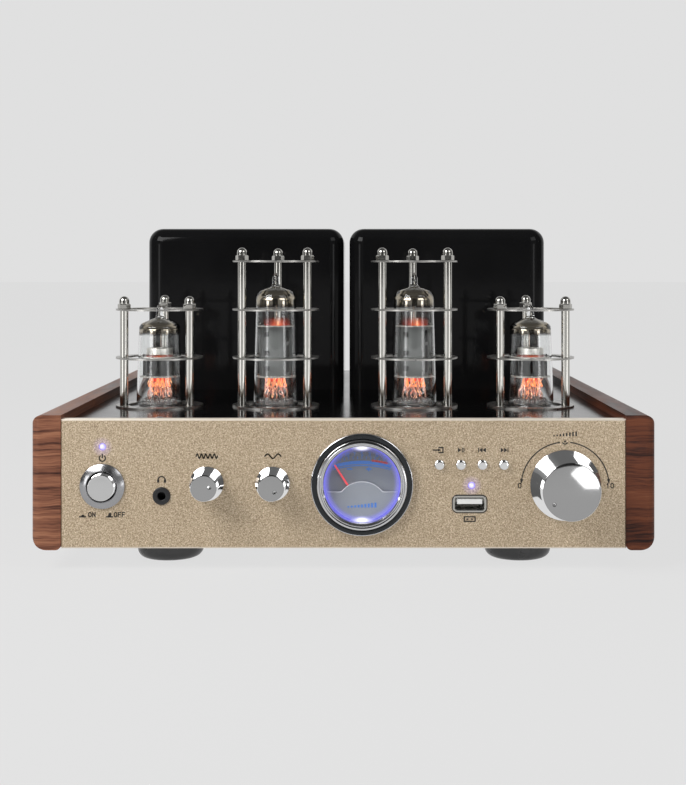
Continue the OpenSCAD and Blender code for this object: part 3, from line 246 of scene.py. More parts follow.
class Nodes:
    """A node tree, with short ways to add nodes to it."""

    def __init__(self, tree):
        self.tree = tree
        self.coords = self.add("TexCoord")

    def add(self, kind, **settings):
        node = self.tree.nodes.new("ShaderNode" + kind)
        for key, value in settings.items():
            setattr(node, key, value)
        return node

    def link(self, output, socket):
        self.tree.links.new(output, socket)

    def feed(self, value, socket):
        """Links an output to a socket, or sets a number or a colour on it."""
        if isinstance(value, tuple):
            socket.default_value = (*value, 1)
        elif isinstance(value, (int, float)):
            socket.default_value = value
        else:
            self.link(value, socket)

    def math(self, kind, *values):
        node = self.add("Math", operation=kind)
        for value, socket in zip(values, node.inputs):
            self.feed(value, socket)
        return node.outputs[0]

    def plus(self, a, b):
        return self.math("ADD", a, b)

    def minus(self, a, b):
        return self.math("SUBTRACT", a, b)

    def times(self, a, b):
        return self.math("MULTIPLY", a, b)

    def join(self, *values):
        """A vector from three values."""
        node = self.add("CombineXYZ")
        for value, socket in zip(values, node.inputs):
            self.feed(value, socket)
        return node.outputs[0]

    def noise(self, scale, detail=2.0, stretch=(1, 1, 1), roughness=0.5, vector=None):
        node = self.add("TexNoise")
        for name, value in (("Scale", scale), ("Detail", detail), ("Roughness", roughness)):
            node.inputs[name].default_value = value
        if vector is None:
            stretched = self.add("Mapping")
            stretched.inputs["Scale"].default_value = stretch
            self.link(self.coords.outputs["Object"], stretched.inputs["Vector"])
            vector = stretched.outputs[0]
        self.link(vector, node.inputs["Vector"])
        return node.outputs["Fac"]

    def ramp(self, fac, stops, smooth=False):
        """Colours, or grey levels, along a value."""
        node = self.add("ValToRGB")
        if smooth:
            node.color_ramp.interpolation = "EASE"
        elements = node.color_ramp.elements
        while len(elements) < len(stops):
            elements.new(0.5)
        for element, (at, color) in zip(elements, stops):
            element.position = at
            element.color = (*color, 1) if isinstance(color, tuple) else (color, color, color, 1)
        self.link(fac, node.inputs["Fac"])
        return node.outputs["Color"]

    def range(self, fac, low, high, to_low, to_high):
        node = self.add("MapRange")
        for name, value in (("From Min", low), ("From Max", high), ("To Min", to_low), ("To Max", to_high)):
            node.inputs[name].default_value = value
        self.link(fac, node.inputs["Value"])
        return node.outputs["Result"]

    def mix(self, fac, a, b):
        """A colour between two others."""
        node = self.add("Mix", data_type="RGBA")
        for value, socket in ((fac, node.inputs["Factor"]), (a, node.inputs[6]), (b, node.inputs[7])):
            self.feed(value, socket)
        return node.outputs[2]

    def level(self, fac, a, b):
        """A number between two others."""
        node = self.add("Mix")
        for value, name in ((fac, "Factor"), (a, "A"), (b, "B")):
            self.feed(value, node.inputs[name])
        return node.outputs["Result"]

    def axis(self, name, source="Object"):
        node = self.add("SeparateXYZ")
        self.link(self.coords.outputs[source], node.inputs[0])
        return node.outputs[name]

    def length(self, dx, dz):
        return self.math("SQRT", self.plus(self.times(dx, dx), self.times(dz, dz)))

    def distance(self, x, z):
        """Distance in metres from an axis along Y through x and z."""
        return self.length(self.minus(self.axis("X"), x), self.minus(self.axis("Z"), z))

    def nearest(self, first, second):
        """Distance in metres from the nearer of two such axes."""
        return self.math("MINIMUM", self.distance(*first), self.distance(*second))


class Paint(Nodes):
    """A node material with one Principled shader."""

    def __init__(self, name, color, **values):
        self.material = bpy.data.materials.new(name)
        self.material.use_nodes = True
        super().__init__(self.material.node_tree)
        self.shader = self.tree.nodes["Principled BSDF"]
        self.to(color, "Base Color")
        for key, value in values.items():
            self.to(value, key.replace("_", " "))

    def to(self, value, name):
        self.feed(value, self.shader.inputs[name])

    def bump(self, height, strength, distance):
        node = self.add("Bump")
        node.inputs["Strength"].default_value = strength
        node.inputs["Distance"].default_value = distance
        self.link(height, node.inputs["Height"])
        self.to(node.outputs["Normal"], "Normal")

    def overlay(self, fac, other):
        """Lays another shader over the Principled one, by a factor."""
        blend = self.add("MixShader")
        self.link(fac, blend.inputs["Fac"])
        self.link(self.shader.outputs[0], blend.inputs[1])
        self.link(other.outputs[0], blend.inputs[2])
        self.link(blend.outputs[0], self.tree.nodes["Material Output"].inputs["Surface"])


def panel_spot(x_mm, z_mm):
    """X and Z in the frame of a spot on the panel, given in millimetres."""
    return x_mm * MM, PANEL_Z + z_mm * MM


LAMPS = (panel_spot(-106.6, 44.9), panel_spot(56.7, 27.8))
METER, WINDOW_R = (8.2, 28.6), 17.0
FACET_LEAN = math.radians(57)
FACET_OUT, FACET_AHEAD = math.cos(FACET_LEAN), math.sin(FACET_LEAN)
FLANK_START, FLANK_SPAN, FLANK_ASIDE, FLANK_UP = 0.0045, 0.40, 0.24, 0.26


def champagne_paint():
    """Blasted aluminium with machined chamfers along its top and bottom, lightened further by a painted
    highlight.
    """
    p = Paint("champagne_panel", (0.50, 0.40, 0.29), Metallic=0.35, Roughness=0.42)
    coarse = p.noise(1650, 3, roughness=0.65)
    fine = p.noise(4200, 2)
    grain = p.plus(p.times(coarse, 0.65), p.times(fine, 0.35))
    satin = p.ramp(grain, [(0.36, (0.21, 0.145, 0.09)), (0.46, (0.445, 0.343, 0.225)),
                           (0.54, (0.575, 0.458, 0.318)), (0.65, (0.89, 0.765, 0.60))])
    # painted highlight: a pale band over the machined chamfers along the top and bottom edges
    middle = (PANEL_Z + PANEL_TOP) / 2
    off = p.math("ABSOLUTE", p.minus(p.axis("Z"), middle))
    edge = p.range(off, PANEL_TOP - middle - 0.0008, PANEL_TOP - middle - 0.0003, 0, 1)
    p.to(p.mix(edge, satin, (0.95, 0.86, 0.74)), "Base Color")
    p.to(p.range(fine, 0.3, 0.7, 0.36, 0.55), "Roughness")
    # violet light that the two lamps spill on the panel round them
    p.to((0.30, 0.22, 1.0), "Emission Color")
    near = p.range(p.nearest(*LAMPS), 0.0012, 0.0048, 0, 1)
    p.to(p.ramp(near, [(0, 0.34), (0.4, 0.13), (1, 0)], smooth=True), "Emission Strength")
    p.bump(grain, 0.28, 0.0004)
    return p.material


def walnut_paint(name, red, green, blue):
    """Streaked wood; the three levels scale its colours, so a darker copy can carry painted shade."""
    p = Paint(name, (0.15, 0.05, 0.026), Roughness=0.35, Specular_IOR_Level=0.2)
    warp = p.times(p.minus(p.noise(22, 3, (1, 0.3, 1)), 0.5), 0.014)
    height = p.plus(p.axis("Z"), warp)
    along = p.join(p.times(p.axis("X"), 9.0), p.times(p.axis("Y"), 3.0), p.times(height, 520.0))
    bands = p.noise(1.0, 5, roughness=0.66, vector=along)
    fibre = p.noise(60, 3, (1.2, 0.22, 24), roughness=0.7)
    patch = p.times(p.minus(p.noise(34, 2, (1, 0.3, 1)), 0.5), 0.30)
    tone = p.plus(p.plus(p.times(bands, 0.66), p.times(fibre, 0.34)), patch)
    stops = ((0.34, 0.012, 0.004, 0.003), (0.42, 0.062, 0.018, 0.010), (0.50, 0.165, 0.050, 0.025),
             (0.60, 0.255, 0.084, 0.040), (0.72, 0.33, 0.130, 0.066))
    p.to(p.ramp(tone, [(at, (r * red, g * green, b * blue)) for at, r, g, b in stops]), "Base Color")
    p.to(p.range(fibre, 0.3, 0.7, 0.30, 0.45), "Roughness")
    p.bump(tone, 0.12, 0.0006)
    return p.material


def black_gloss_paint(name, level, roughness, specular):
    p = Paint(name, (level, level, level), Specular_IOR_Level=specular)
    smear = p.noise(18, 3, roughness=0.6)
    p.to(p.ramp(smear, [(0.3, (level * 0.8, level * 0.8, level * 0.85)),
                        (0.7, (level * 1.2, level * 1.2, level * 1.25))]), "Base Color")
    p.to(p.range(smear, 0.3, 0.7, roughness, roughness * 1.8), "Roughness")
    p.bump(p.noise(260, 2), 0.02, 0.0004)
    return p.material


def metal_paint(name, color, roughness, spread=1.6, stretch=(1, 1, 1), scale=900, bump=0.02):
    p = Paint(name, color, Metallic=1.0)
    grain = p.noise(scale, 3, stretch)
    dark = tuple(c * 0.93 for c in color)
    p.to(p.ramp(grain, [(0.3, dark), (0.7, color)]), "Base Color")
    p.to(p.range(grain, 0.3, 0.7, roughness, roughness * spread), "Roughness")
    if bump:
        p.bump(grain, bump, 0.0002)
    return p.material


def shades(color, dark, light, lift):
    """A darker and a lighter shade of a colour."""
    return tuple(c * dark for c in color), tuple(min(1, c * light + lift) for c in color)


def plastic_paint(name, color, roughness, scale=1400, bump=0.12, coat=0.0):
    p = Paint(name, color, Coat_Weight=coat, Coat_Roughness=0.08)
    grain = p.noise(scale, 3)
    p.to(p.mix(p.noise(40, 3), *shades(color, 0.85, 1.18, 0.002)), "Base Color")
    p.to(p.range(grain, 0.3, 0.7, roughness * 0.85, roughness * 1.15), "Roughness")
    p.bump(grain, bump, 0.0002)
    return p.material


def glass_paint(name, tint):
    """Clear glass that lets light through to what is behind it."""
    p = Paint(name, tint, Transmission_Weight=1.0, IOR=1.47)
    p.to(p.range(p.noise(60, 2), 0.35, 0.75, 0.0, 0.015), "Roughness")
    clear = p.add("BsdfTransparent")
    clear.inputs["Color"].default_value = (0.94, 0.95, 0.95, 1)
    p.overlay(p.add("LightPath").outputs["Is Shadow Ray"], clear)
    return p.material


def getter_paint():
    """Mirror film inside a bulb's crown that thins to a brown edge and then to nothing."""
    p = Paint("getter_mirror", (0.36, 0.33, 0.29), Metallic=1.0)
    wave = p.noise(160, 3)
    up = p.plus(p.axis("Z", "Generated"), p.times(p.minus(wave, 0.5), 0.10))
    p.to(p.ramp(up, [(0.02, (0.02, 0.012, 0.008)), (0.14, (0.09, 0.065, 0.042)), (0.27, (0.50, 0.45, 0.37)),
                     (0.55, (0.50, 0.44, 0.35)), (0.8, (0.28, 0.25, 0.19))]), "Base Color")
    p.to(p.ramp(up, [(0.02, 0.0), (0.2, 0.85), (0.4, 1)]), "Alpha")
    p.to(p.range(wave, 0.3, 0.7, 0.005, 0.02), "Roughness")
    return p.material


def knob_paint(name, face_y, face_level):
    """Chrome with a plainer face in front of a plane; the fine facets left by the lathe look forward."""
    p = Paint(name, (0.9, 0.9, 0.9), Metallic=1.0)
    is_face = p.math("LESS_THAN", p.axis("Y"), face_y)
    p.to(p.mix(is_face, (0.92, 0.92, 0.92), (face_level, face_level, face_level)), "Base Color")
    p.to(p.range(p.noise(900, 3), 0.3, 0.7, 0.05, 0.08), "Roughness")
    # direction of a facet: from the axis outwards, leaning to the front
    unit = p.add("VectorMath", operation="NORMALIZE")
    outwards = p.join(p.minus(p.axis("X", "Generated"), 0.5), 0, p.minus(p.axis("Z", "Generated"), 0.5))
    p.link(outwards, unit.inputs[0])
    lean = p.add("VectorMath", operation="MULTIPLY_ADD")
    p.link(unit.outputs[0], lean.inputs[0])
    lean.inputs[1].default_value = (FACET_OUT, FACET_OUT, FACET_OUT)
    # behind the face's edge the facets of the flanks look more aside and upwards
    side = p.add("SeparateXYZ")
    p.link(unit.outputs[0], side.inputs[0])
    flank = p.math("LESS_THAN", p.math("ABSOLUTE", side.outputs[2]), FLANK_SPAN)
    both = p.times(flank, p.math("GREATER_THAN", p.axis("Y"), face_y + FLANK_START))
    ahead = p.minus(p.times(both, FLANK_ASIDE), FACET_AHEAD)
    p.link(p.join(0, ahead, p.times(both, FLANK_UP)), lean.inputs[2])
    facing = p.add("VectorTransform", vector_type="NORMAL", convert_from="OBJECT", convert_to="WORLD")
    p.link(lean.outputs[0], facing.inputs[0])
    blend = p.add("Mix", data_type="VECTOR")
    p.link(is_face, blend.inputs["Factor"])
    p.link(facing.outputs[0], blend.inputs[4])
    p.link(p.add("NewGeometry").outputs["Normal"], blend.inputs[5])
    p.to(blend.outputs[1], "Normal")
    return p.material


def haze_paint():
    """Red light that hangs over a hot cathode end and fades upwards."""
    p = Paint("ember_haze", (0.30, 0.02, 0.01), Roughness=0.5)
    flick = p.noise(700, 3)
    aside = p.math("ABSOLUTE", p.minus(p.axis("X", "Generated"), 0.55))
    heart = p.ramp(p.range(aside, 0.0, 0.42, 1, 0), [(0, 0.12), (1, 1)], smooth=True)
    p.to(p.mix(p.times(heart, flick), (0.50, 0.010, 0.003), (1.0, 0.26, 0.05)), "Emission Color")
    p.to(p.times(heart, 1.1), "Emission Strength")
    fade = p.ramp(p.axis("Z", "Generated"), [(0.0, 0.85), (0.25, 0.42), (1.0, 0.0)], smooth=True)
    p.to(p.times(fade, p.range(flick, 0.35, 0.65, 0.6, 1.0)), "Alpha")
    return p.material


def glow_wire_paint():
    """Hot wire: red to yellow-white along its length."""
    p = Paint("glow_wire", (0.60, 0.50, 0.42), Metallic=0.6, Roughness=0.3)
    patch = p.noise(750, 2)
    p.to(p.ramp(patch, [(0.38, (0.55, 0.015, 0.004)), (0.50, (0.90, 0.07, 0.015)), (0.59, (1.0, 0.26, 0.06)),
                        (0.68, (1.0, 0.66, 0.30))]), "Emission Color")
    p.to(p.ramp(patch, [(0.38, 0.06), (0.52, 0.5), (0.68, 1.4)]), "Emission Strength")
    return p.material


def glow_paint(name, color, strength, low):
    p = Paint(name, tuple(c * 0.5 for c in color), Roughness=0.5, Emission_Strength=strength)
    p.to(p.mix(p.noise(900, 3), tuple(c * low for c in color), color), "Emission Color")
    return p.material


def lead_paint():
    """Bright wire that is lit red near the heaters."""
    p = Paint("lead_wire", (0.66, 0.62, 0.57), Metallic=0.9, Roughness=0.25)
    grain = p.noise(700, 3)
    p.to(p.ramp(grain, [(0.3, (0.55, 0.42, 0.36)), (0.7, (0.86, 0.78, 0.70))]), "Base Color")
    height = p.range(p.axis("Z"), DECK_Z + 0.0040, DECK_Z + 0.0150, 0, 1)
    p.to(p.ramp(grain, [(0.42, (0.9, 0.08, 0.02)), (0.58, (1.0, 0.38, 0.18))]), "Emission Color")
    p.to(p.ramp(height, [(0, 0.0), (0.4, 0.35), (0.93, 0.6), (1, 0.0)]), "Emission Strength")
    return p.material


def painted_glow_post_paint():
    """Bright post with a painted orange glow at its foot, standing in for a highlight of the red light over
    the mica.
    """
    p = Paint("painted_glow_post", (0.80, 0.76, 0.70), Metallic=0.8, Roughness=0.2, Emission_Color=(1.0, 0.52, 0.26))
    p.to(p.ramp(p.noise(700, 3), [(0.3, (0.70, 0.64, 0.57)), (0.7, (0.88, 0.84, 0.79))]), "Base Color")
    # painted glow at the post's foot, standing in for a highlight
    heat = p.ramp(p.axis("Z", "Generated"), [(0.0, 1.6), (0.4, 0.8), (0.8, 0.05)], smooth=True)
    p.to(heat, "Emission Strength")
    return p.material


def bead_paint():
    """Milky glass of the stem."""
    p = Paint("glass_beads", (0.62, 0.63, 0.63), Roughness=0.03, Transmission_Weight=0.92, IOR=1.5)
    cloud = p.noise(900, 3)
    p.to(p.ramp(cloud, [(0.35, (0.70, 0.71, 0.71)), (0.65, (0.96, 0.97, 0.97))]), "Base Color")
    p.bump(cloud, 0.3, 0.0003)
    return p.material


def mica_paint():
    p = Paint("mica", (0.75, 0.72, 0.66), Roughness=0.25, Transmission_Weight=0.4)
    flake = p.noise(500, 4)
    p.to(p.ramp(flake, [(0.3, (0.62, 0.59, 0.53)), (0.7, (0.88, 0.86, 0.82))]), "Base Color")
    p.bump(flake, 0.1, 0.0002)
    return p.material


def dial_paint():
    """Grey dial card with painted shade that darkens it towards the top, lit violet from its rim, with a hot
    spot above and below.
    """
    p = Paint("dial_card", (0.40, 0.41, 0.45), Roughness=0.55)
    cx, cz = panel_spot(*METER)
    up = p.range(p.axis("Z"), cz - WINDOW_R * MM, cz + WINDOW_R * MM, 0, 1)
    # painted shade: the card's colour darkens towards the top
    shade = p.ramp(up, [(0, (0.25, 0.275, 0.32)), (0.42, (0.25, 0.27, 0.30)), (0.6, (0.185, 0.21, 0.25)),
                        (1, (0.115, 0.125, 0.15))], smooth=True)
    p.to(p.mix(p.times(p.noise(700, 2), 0.25), shade, (0.26, 0.28, 0.32)), "Base Color")
    rim = p.range(p.distance(cx, cz), 0.0136, 0.0168, 0, 1)
    hot = p.range(p.nearest((cx, cz + 0.0164), (cx, cz - 0.0164)), 0.0, 0.0036, 1, 0)
    blue = p.ramp(rim, [(0, (0.10, 0.10, 0.14)), (0.35, (0.14, 0.14, 0.40)), (0.75, (0.22, 0.21, 0.95)),
                        (1, (0.30, 0.28, 1.0))], smooth=True)
    p.to(p.mix(p.ramp(hot, [(0.3, 0), (1, 1)], smooth=True), blue, (0.95, 0.95, 1.0)), "Emission Color")
    p.to(p.ramp(rim, [(0, 0.0), (1, 0.4)], smooth=True), "Emission Strength")
    return p.material


def glow_ring_paint():
    """Light guide behind the glass: violet, fading inwards, with a white patch above and below."""
    p = Paint("meter_light", (0.05, 0.05, 0.15), Roughness=0.4)
    cx, cz = panel_spot(*METER)
    rim = p.range(p.distance(cx, cz), 0.0140, 0.0169, 0, 1)
    dx = p.times(p.minus(p.axis("X"), cx), 0.36)
    dz = p.minus(p.math("ABSOLUTE", p.minus(p.axis("Z"), cz)), 0.0160)
    hot = p.ramp(p.range(p.length(dx, dz), 0.0004, 0.0022, 1, 0), [(0, 0), (1, 1)], smooth=True)
    p.to(p.mix(hot, (0.17, 0.16, 0.90), (1.0, 1.0, 1.0)), "Emission Color")
    p.to(p.range(hot, 0.0, 1.0, 0.85, 1.3), "Emission Strength")
    fade = p.ramp(rim, [(0, 0), (0.5, 0.28), (1, 0.95)], smooth=True)
    p.to(p.math("MAXIMUM", fade, p.times(hot, 0.95)), "Alpha")
    return p.material


def lamp_paint():
    p = Paint("lamp_lens", (0.55, 0.52, 0.9), Roughness=0.15, Emission_Strength=0.6)
    near = p.range(p.nearest(*LAMPS), 0.0, 0.0016, 0, 1)
    glow = [(0, 1.0), (0.4, (0.62, 0.62, 0.95)), (1, (0.28, 0.25, 0.80))]
    p.to(p.ramp(near, glow, smooth=True), "Emission Color")
    return p.material


def print_paint(name, color, glow=0.0):
    p = Paint(name, color, Roughness=0.55, Emission_Color=color, Emission_Strength=glow)
    p.to(p.mix(p.noise(2500, 2), *shades(color, 0.8, 1.25, 0.01)), "Base Color")
    return p.material


CHROME = metal_paint("chrome_plate", (0.62, 0.63, 0.64), 0.045, scale=300, bump=0.0)
DISHED = metal_paint("turned_chrome", (0.40, 0.40, 0.41), 0.16, scale=300, bump=0.0)
RIM_DARK = metal_paint("dark_rim", (0.050, 0.053, 0.056), 0.20, scale=300, bump=0.0)
RIM_BRIGHT = metal_paint("bright_rim", (0.66, 0.66, 0.67), 0.09, scale=300, bump=0.0)
RING_STEEL = metal_paint("ring_steel", (0.46, 0.45, 0.43), 0.24, scale=500, bump=0.0)
STEEL = metal_paint("polished_steel", (0.50, 0.49, 0.46), 0.07, scale=500, bump=0.0)
DARK_STEEL = metal_paint("dark_steel", (0.20, 0.19, 0.18), 0.25, scale=500)
ZINC = metal_paint("zinc_steel", (0.55, 0.56, 0.57), 0.30, scale=220, bump=0.03)
SHAFT = metal_paint("shaft_steel", (0.58, 0.58, 0.58), 0.25, stretch=(4, 0.2, 4), scale=500)
SHEET = {"spread": 1.3, "stretch": (3, 3, 0.5), "scale": 500, "bump": 0.05}
PLATE = metal_paint("tube_plate", (0.22, 0.225, 0.22), 0.45, **SHEET)
DARK_PLATE = metal_paint("dark_plate", (0.16, 0.16, 0.16), 0.35, **SHEET)
GOLD = metal_paint("gold_plate", (0.83, 0.60, 0.25), 0.14, scale=500)
IRON = metal_paint("core_iron", (0.22, 0.22, 0.23), 0.5, stretch=(0.3, 9, 0.3), scale=600, bump=0.3)
COPPER = metal_paint("coil_copper", (0.62, 0.30, 0.14), 0.4, stretch=(0.3, 0.3, 6), scale=500, bump=0.4)
CHAMPAGNE = champagne_paint()
WALNUT = walnut_paint("walnut", 1.16, 1.50, 1.75)
# the right panel's darker copy is painted shade, as if the light fell from the left
PAINTED_SHADE_WALNUT = walnut_paint("painted_shade_walnut", 0.64, 0.58, 0.52)
COVER = black_gloss_paint("black_enamel", 0.0065, 0.05, 0.10)
DECK = black_gloss_paint("black_deck", 0.0022, 0.10, 0.5)
RUBBER = plastic_paint("foot_rubber", (0.062, 0.062, 0.063), 0.30, scale=160, bump=0.0)
BLACK = plastic_paint("black_plastic", (0.012, 0.012, 0.013), 0.38)
SINK = plastic_paint("black_anodised", (0.02, 0.02, 0.02), 0.4)
RED = plastic_paint("red_plastic", (0.42, 0.012, 0.010), 0.25, coat=0.4)
WHITE = plastic_paint("white_plastic", (0.82, 0.82, 0.80), 0.35)
CERAMIC = plastic_paint("ceramic", (0.035, 0.032, 0.030), 0.22, bump=0.05, coat=0.5)
CUP = metal_paint("shield_cup", (0.90, 0.87, 0.82), 0.32, spread=1.5, scale=420, bump=0.6)
BEADS = bead_paint()
BOARD = plastic_paint("circuit_board", (0.015, 0.10, 0.045), 0.35, scale=300, bump=0.2)
BULB = glass_paint("tube_glass", (0.97, 0.98, 0.98))
PANE = glass_paint("meter_pane", (0.98, 0.98, 1.0))
GETTER = getter_paint()
HEATER = glow_paint("heater_glow", (1.0, 0.30, 0.09), 1.7, 0.4)
EMBER = glow_paint("ember_glow", (0.9, 0.05, 0.015), 0.9, 0.3)
LEAD = lead_paint()
GLOW_WIRE = glow_wire_paint()
HAZE = haze_paint()
MICA = mica_paint()
PAINTED_GLOW_POST = painted_glow_post_paint()
DIAL = dial_paint()
GLOW_RING = glow_ring_paint()
LENS = lamp_paint()
INK = print_paint("black_ink", (0.014, 0.009, 0.006))
# the meter's blue and red inks and its needle glow: light of the meter lamp painted into them
BLUE_INK = print_paint("blue_ink", (0.010, 0.11, 0.40), 0.45)
RED_INK = print_paint("red_ink", (0.38, 0.012, 0.014), 0.3)
PALE_INK = print_paint("pale_ink", (0.62, 0.63, 0.67))
NEEDLE = print_paint("needle_red", (0.75, 0.04, 0.06), 0.5)

# Materials of the CAD nodes that stay visible
looks = {
    "chassis_tray": ZINC, "top_deck": DECK, "front_panel": CHAMPAGNE, "rear_panel": COVER,
    "left_side_panel": WALNUT, "right_side_panel": PAINTED_SHADE_WALNUT, "feet": RUBBER, "case_screws": CHROME,
    "transformer_cores": IRON, "transformer_coils": COPPER, "tube_sockets": CERAMIC, "cage_posts": STEEL,
    "potentiometers": ZINC, "power_switch": BLACK, "control_board": BOARD, "meter_can": BLACK,
    "meter_dial": DIAL, "meter_glass": PANE, "leds": LENS, "main_board": BOARD, "heat_sink": SINK,
    "speaker_posts": GOLD, "phono_jacks": CHROME, "power_inlet": BLACK,
}
for i in range(1, 5):
    looks["cage_%d_rings" % i] = RING_STEEL
    looks["speaker_cap_%d" % i] = RED if i % 2 else BLACK
for name in ("volume", "treble", "bass"):
    looks[name + "_shaft"] = SHAFT
for name, material in looks.items():
    mesh = nodes[name].data
    mesh.materials.clear()
    mesh.materials.append(material)


# Camera, floor and light

CAMERA_AT = (0.006, FRONT_Y - 0.588, 0.134)
FOCAL_PX = 1330
PHOTO_W, PHOTO_H = 686, 785
SENSOR_W = 36
HORIZON_PX = 268
VANISH_PX = 357

camera = bpy.data.objects.new("camera", bpy.data.cameras.new("camera"))
bpy.context.scene.collection.objects.link(camera)
camera.data.sensor_width = SENSOR_W
camera.data.lens = FOCAL_PX * SENSOR_W / PHOTO_H
camera.data.shift_x = -(VANISH_PX - PHOTO_W / 2) / PHOTO_H
camera.data.shift_y = -(PHOTO_H / 2 - HORIZON_PX) / PHOTO_H
camera.location = CAMERA_AT
camera.rotation_euler = (math.radians(90), 0, 0)
bpy.context.scene.camera = camera
bpy.context.scene.view_settings.view_transform = "Standard"

BACKDROP = 0.745
FLOOR_GLOW = 0.775


def floor_material():
    """Pale floor that shows one even tone to the camera and keeps the shadow of the object."""
    p = Paint("pale_floor", (0.72, 0.72, 0.72), Roughness=0.9)
    p.to(p.ramp(p.noise(3, 2), [(0.3, 0.71), (0.7, 0.74)]), "Base Color")
    flat = p.add("Emission")
    flat.inputs["Color"].default_value = (FLOOR_GLOW, FLOOR_GLOW, FLOOR_GLOW, 1)
    rays = p.add("LightPath").outputs
    seen = p.math("MAXIMUM", rays["Is Camera Ray"], rays["Is Glossy Ray"])
    seen = p.math("MAXIMUM", seen, rays["Is Transmission Ray"])
    p.overlay(p.times(seen, 0.9), flat)
    return p.material


def floor_build(bm):
    size = 12.0
    for x, y in ((-size, -size), (size, -size), (size, size), (-size, size)):
        bm.verts.new((x, y, 0))
    bm.verts.ensure_lookup_table()
    bm.faces.new(bm.verts)


floor = bpy.data.objects.new("floor", mesh_of(floor_build, "floor"))
floor.data.materials.append(floor_material())
bpy.context.scene.collection.objects.link(floor)

world = bpy.data.worlds.new("studio")
world.use_nodes = True
bpy.context.scene.world = world
sky = Nodes(world.node_tree)
WALL, FLAG, OPENING, CEILING = 0.30, 0.10, 0.03, 0.13
# angle from the direction of the camera, as a share of half a turn
beside = sky.math("ABSOLUTE", sky.axis("X", "Generated"))
aside = sky.math("ARCTAN2", beside, sky.times(sky.axis("Y", "Generated"), -1.0))
around = sky.ramp(sky.math("DIVIDE", aside, math.pi),
                  [(0.0, OPENING), (0.075, OPENING), (0.105, WALL), (0.28, WALL), (0.32, FLAG), (0.56, FLAG),
                   (0.62, BACKDROP)])
above = sky.ramp(sky.axis("Z", "Generated"), [(0.0, 0.0), (0.55, 0.0), (0.80, 1.0)])
tent = sky.level(above, around, CEILING)
tone = sky.level(sky.add("LightPath").outputs["Is Camera Ray"], tent, BACKDROP)
back = sky.tree.nodes["Background"]
sky.link(tone, back.inputs["Strength"])
back.inputs["Color"].default_value = (1, 1, 1, 1)


def softbox(name, place, target, width, height, power, roll=0):
    """A rectangular lamp that looks at a point, rolled about its axis by an angle in degrees."""
    lamp = bpy.data.lights.new(name, "AREA")
    lamp.shape = "RECTANGLE"
    lamp.size = width
    lamp.size_y = height
    lamp.energy = power
    holder = bpy.data.objects.new(name, lamp)
    bpy.context.scene.collection.objects.link(holder)
    holder.location = place
    aim = Vector(target) - Vector(place)
    turn = aim.to_track_quat("-Z", "Y").to_matrix() @ Matrix.Rotation(math.radians(roll), 3, "Z")
    holder.rotation_euler = turn.to_euler()


TENT_Y = FRONT_Y + 0.08
# two windows of the light tent, the left one nearer
softbox("left_window", (-0.42, FRONT_Y - 0.34, 0.54), (0, TENT_Y, 0.54), 0.44, 0.46, 5.6)
softbox("right_window", (0.62, FRONT_Y - 0.55, 0.72), (0, TENT_Y, 0.72), 0.58, 0.56, 2.7)
# narrow strips that stand on the floor below the windows
softbox("left_strip", (-0.44, FRONT_Y - 0.32, 0.085), (0, TENT_Y, 0.085), 0.13, 0.16, 0.19)
softbox("right_strip", (0.44, FRONT_Y - 0.32, 0.085), (0, TENT_Y, 0.085), 0.13, 0.16, 0.17)
# small white card before the right end of the panel
softbox("front_card", (0.182, FRONT_Y - 0.28, 0.027), (0.098, FRONT_Y, 0.037), 0.063, 0.063, 0.035, 45)


# Marks printed on the panel

INK_LAYER = (0.004, 0.03)
PRINT_LINE, THIN_LINE = 0.58, 0.42
POWER_X, POWER_Z = -106.6, 27.5
TREBLE_X, BASS_X, TONE_Z = -60.4, -31.2, 28.8
VOLUME_X, VOLUME_Z = 98.0, 28.1
HEADPHONE_X, HEADPHONE_Z = -80.4, 23.2
BUTTON_X, BUTTON_PITCH, BUTTON_Z = 42.5, 9.5, 37.0
USB_X, USB_Z = 55.8, 19.7
ICON_Z = 43.5

# strokes of the letters and digits, in a square of side one
GLYPHS = {
    "0": [[(0.3, 0), (0, 0.25), (0, 0.75), (0.3, 1), (0.7, 1), (1, 0.75), (1, 0.25), (0.7, 0), (0.3, 0)]],
    "1": [[(0.2, 0.75), (0.5, 1), (0.5, 0)]],
    "2": [[(0, 1), (1, 1), (1, 0.5), (0, 0.5), (0, 0), (1, 0)]],
    "3": [[(0, 1), (1, 1), (1, 0), (0, 0)], [(0.2, 0.5), (1, 0.5)]],
    "5": [[(1, 1), (0, 1), (0, 0.5), (1, 0.5), (1, 0), (0, 0)]],
    "7": [[(0, 1), (1, 1), (0.4, 0)]],
    "N": [[(0, 0), (0, 1), (1, 0), (1, 1)]],
    "F": [[(0, 0), (0, 1), (1, 1)], [(0, 0.5), (0.8, 0.5)]],
    "-": [[(0, 0.5), (1, 0.5)]],
    "+": [[(0, 0.5), (1, 0.5)], [(0.5, 0), (0.5, 1)]],
}
GLYPHS["O"] = GLYPHS["0"]


def write(bm, place, text, x, y, height, width, line, *depths):
    """Letters and digits from strokes, centred on x and standing on y."""
    pitch = width * 1.6
    start = x - (pitch * (len(text) - 1) + width) / 2
    for k, letter in enumerate(text):
        for points in GLYPHS[letter]:
            legs = [(start + k * pitch + px * width, y + py * height) for px, py in points]
            stroke(bm, place, legs, line, *depths)


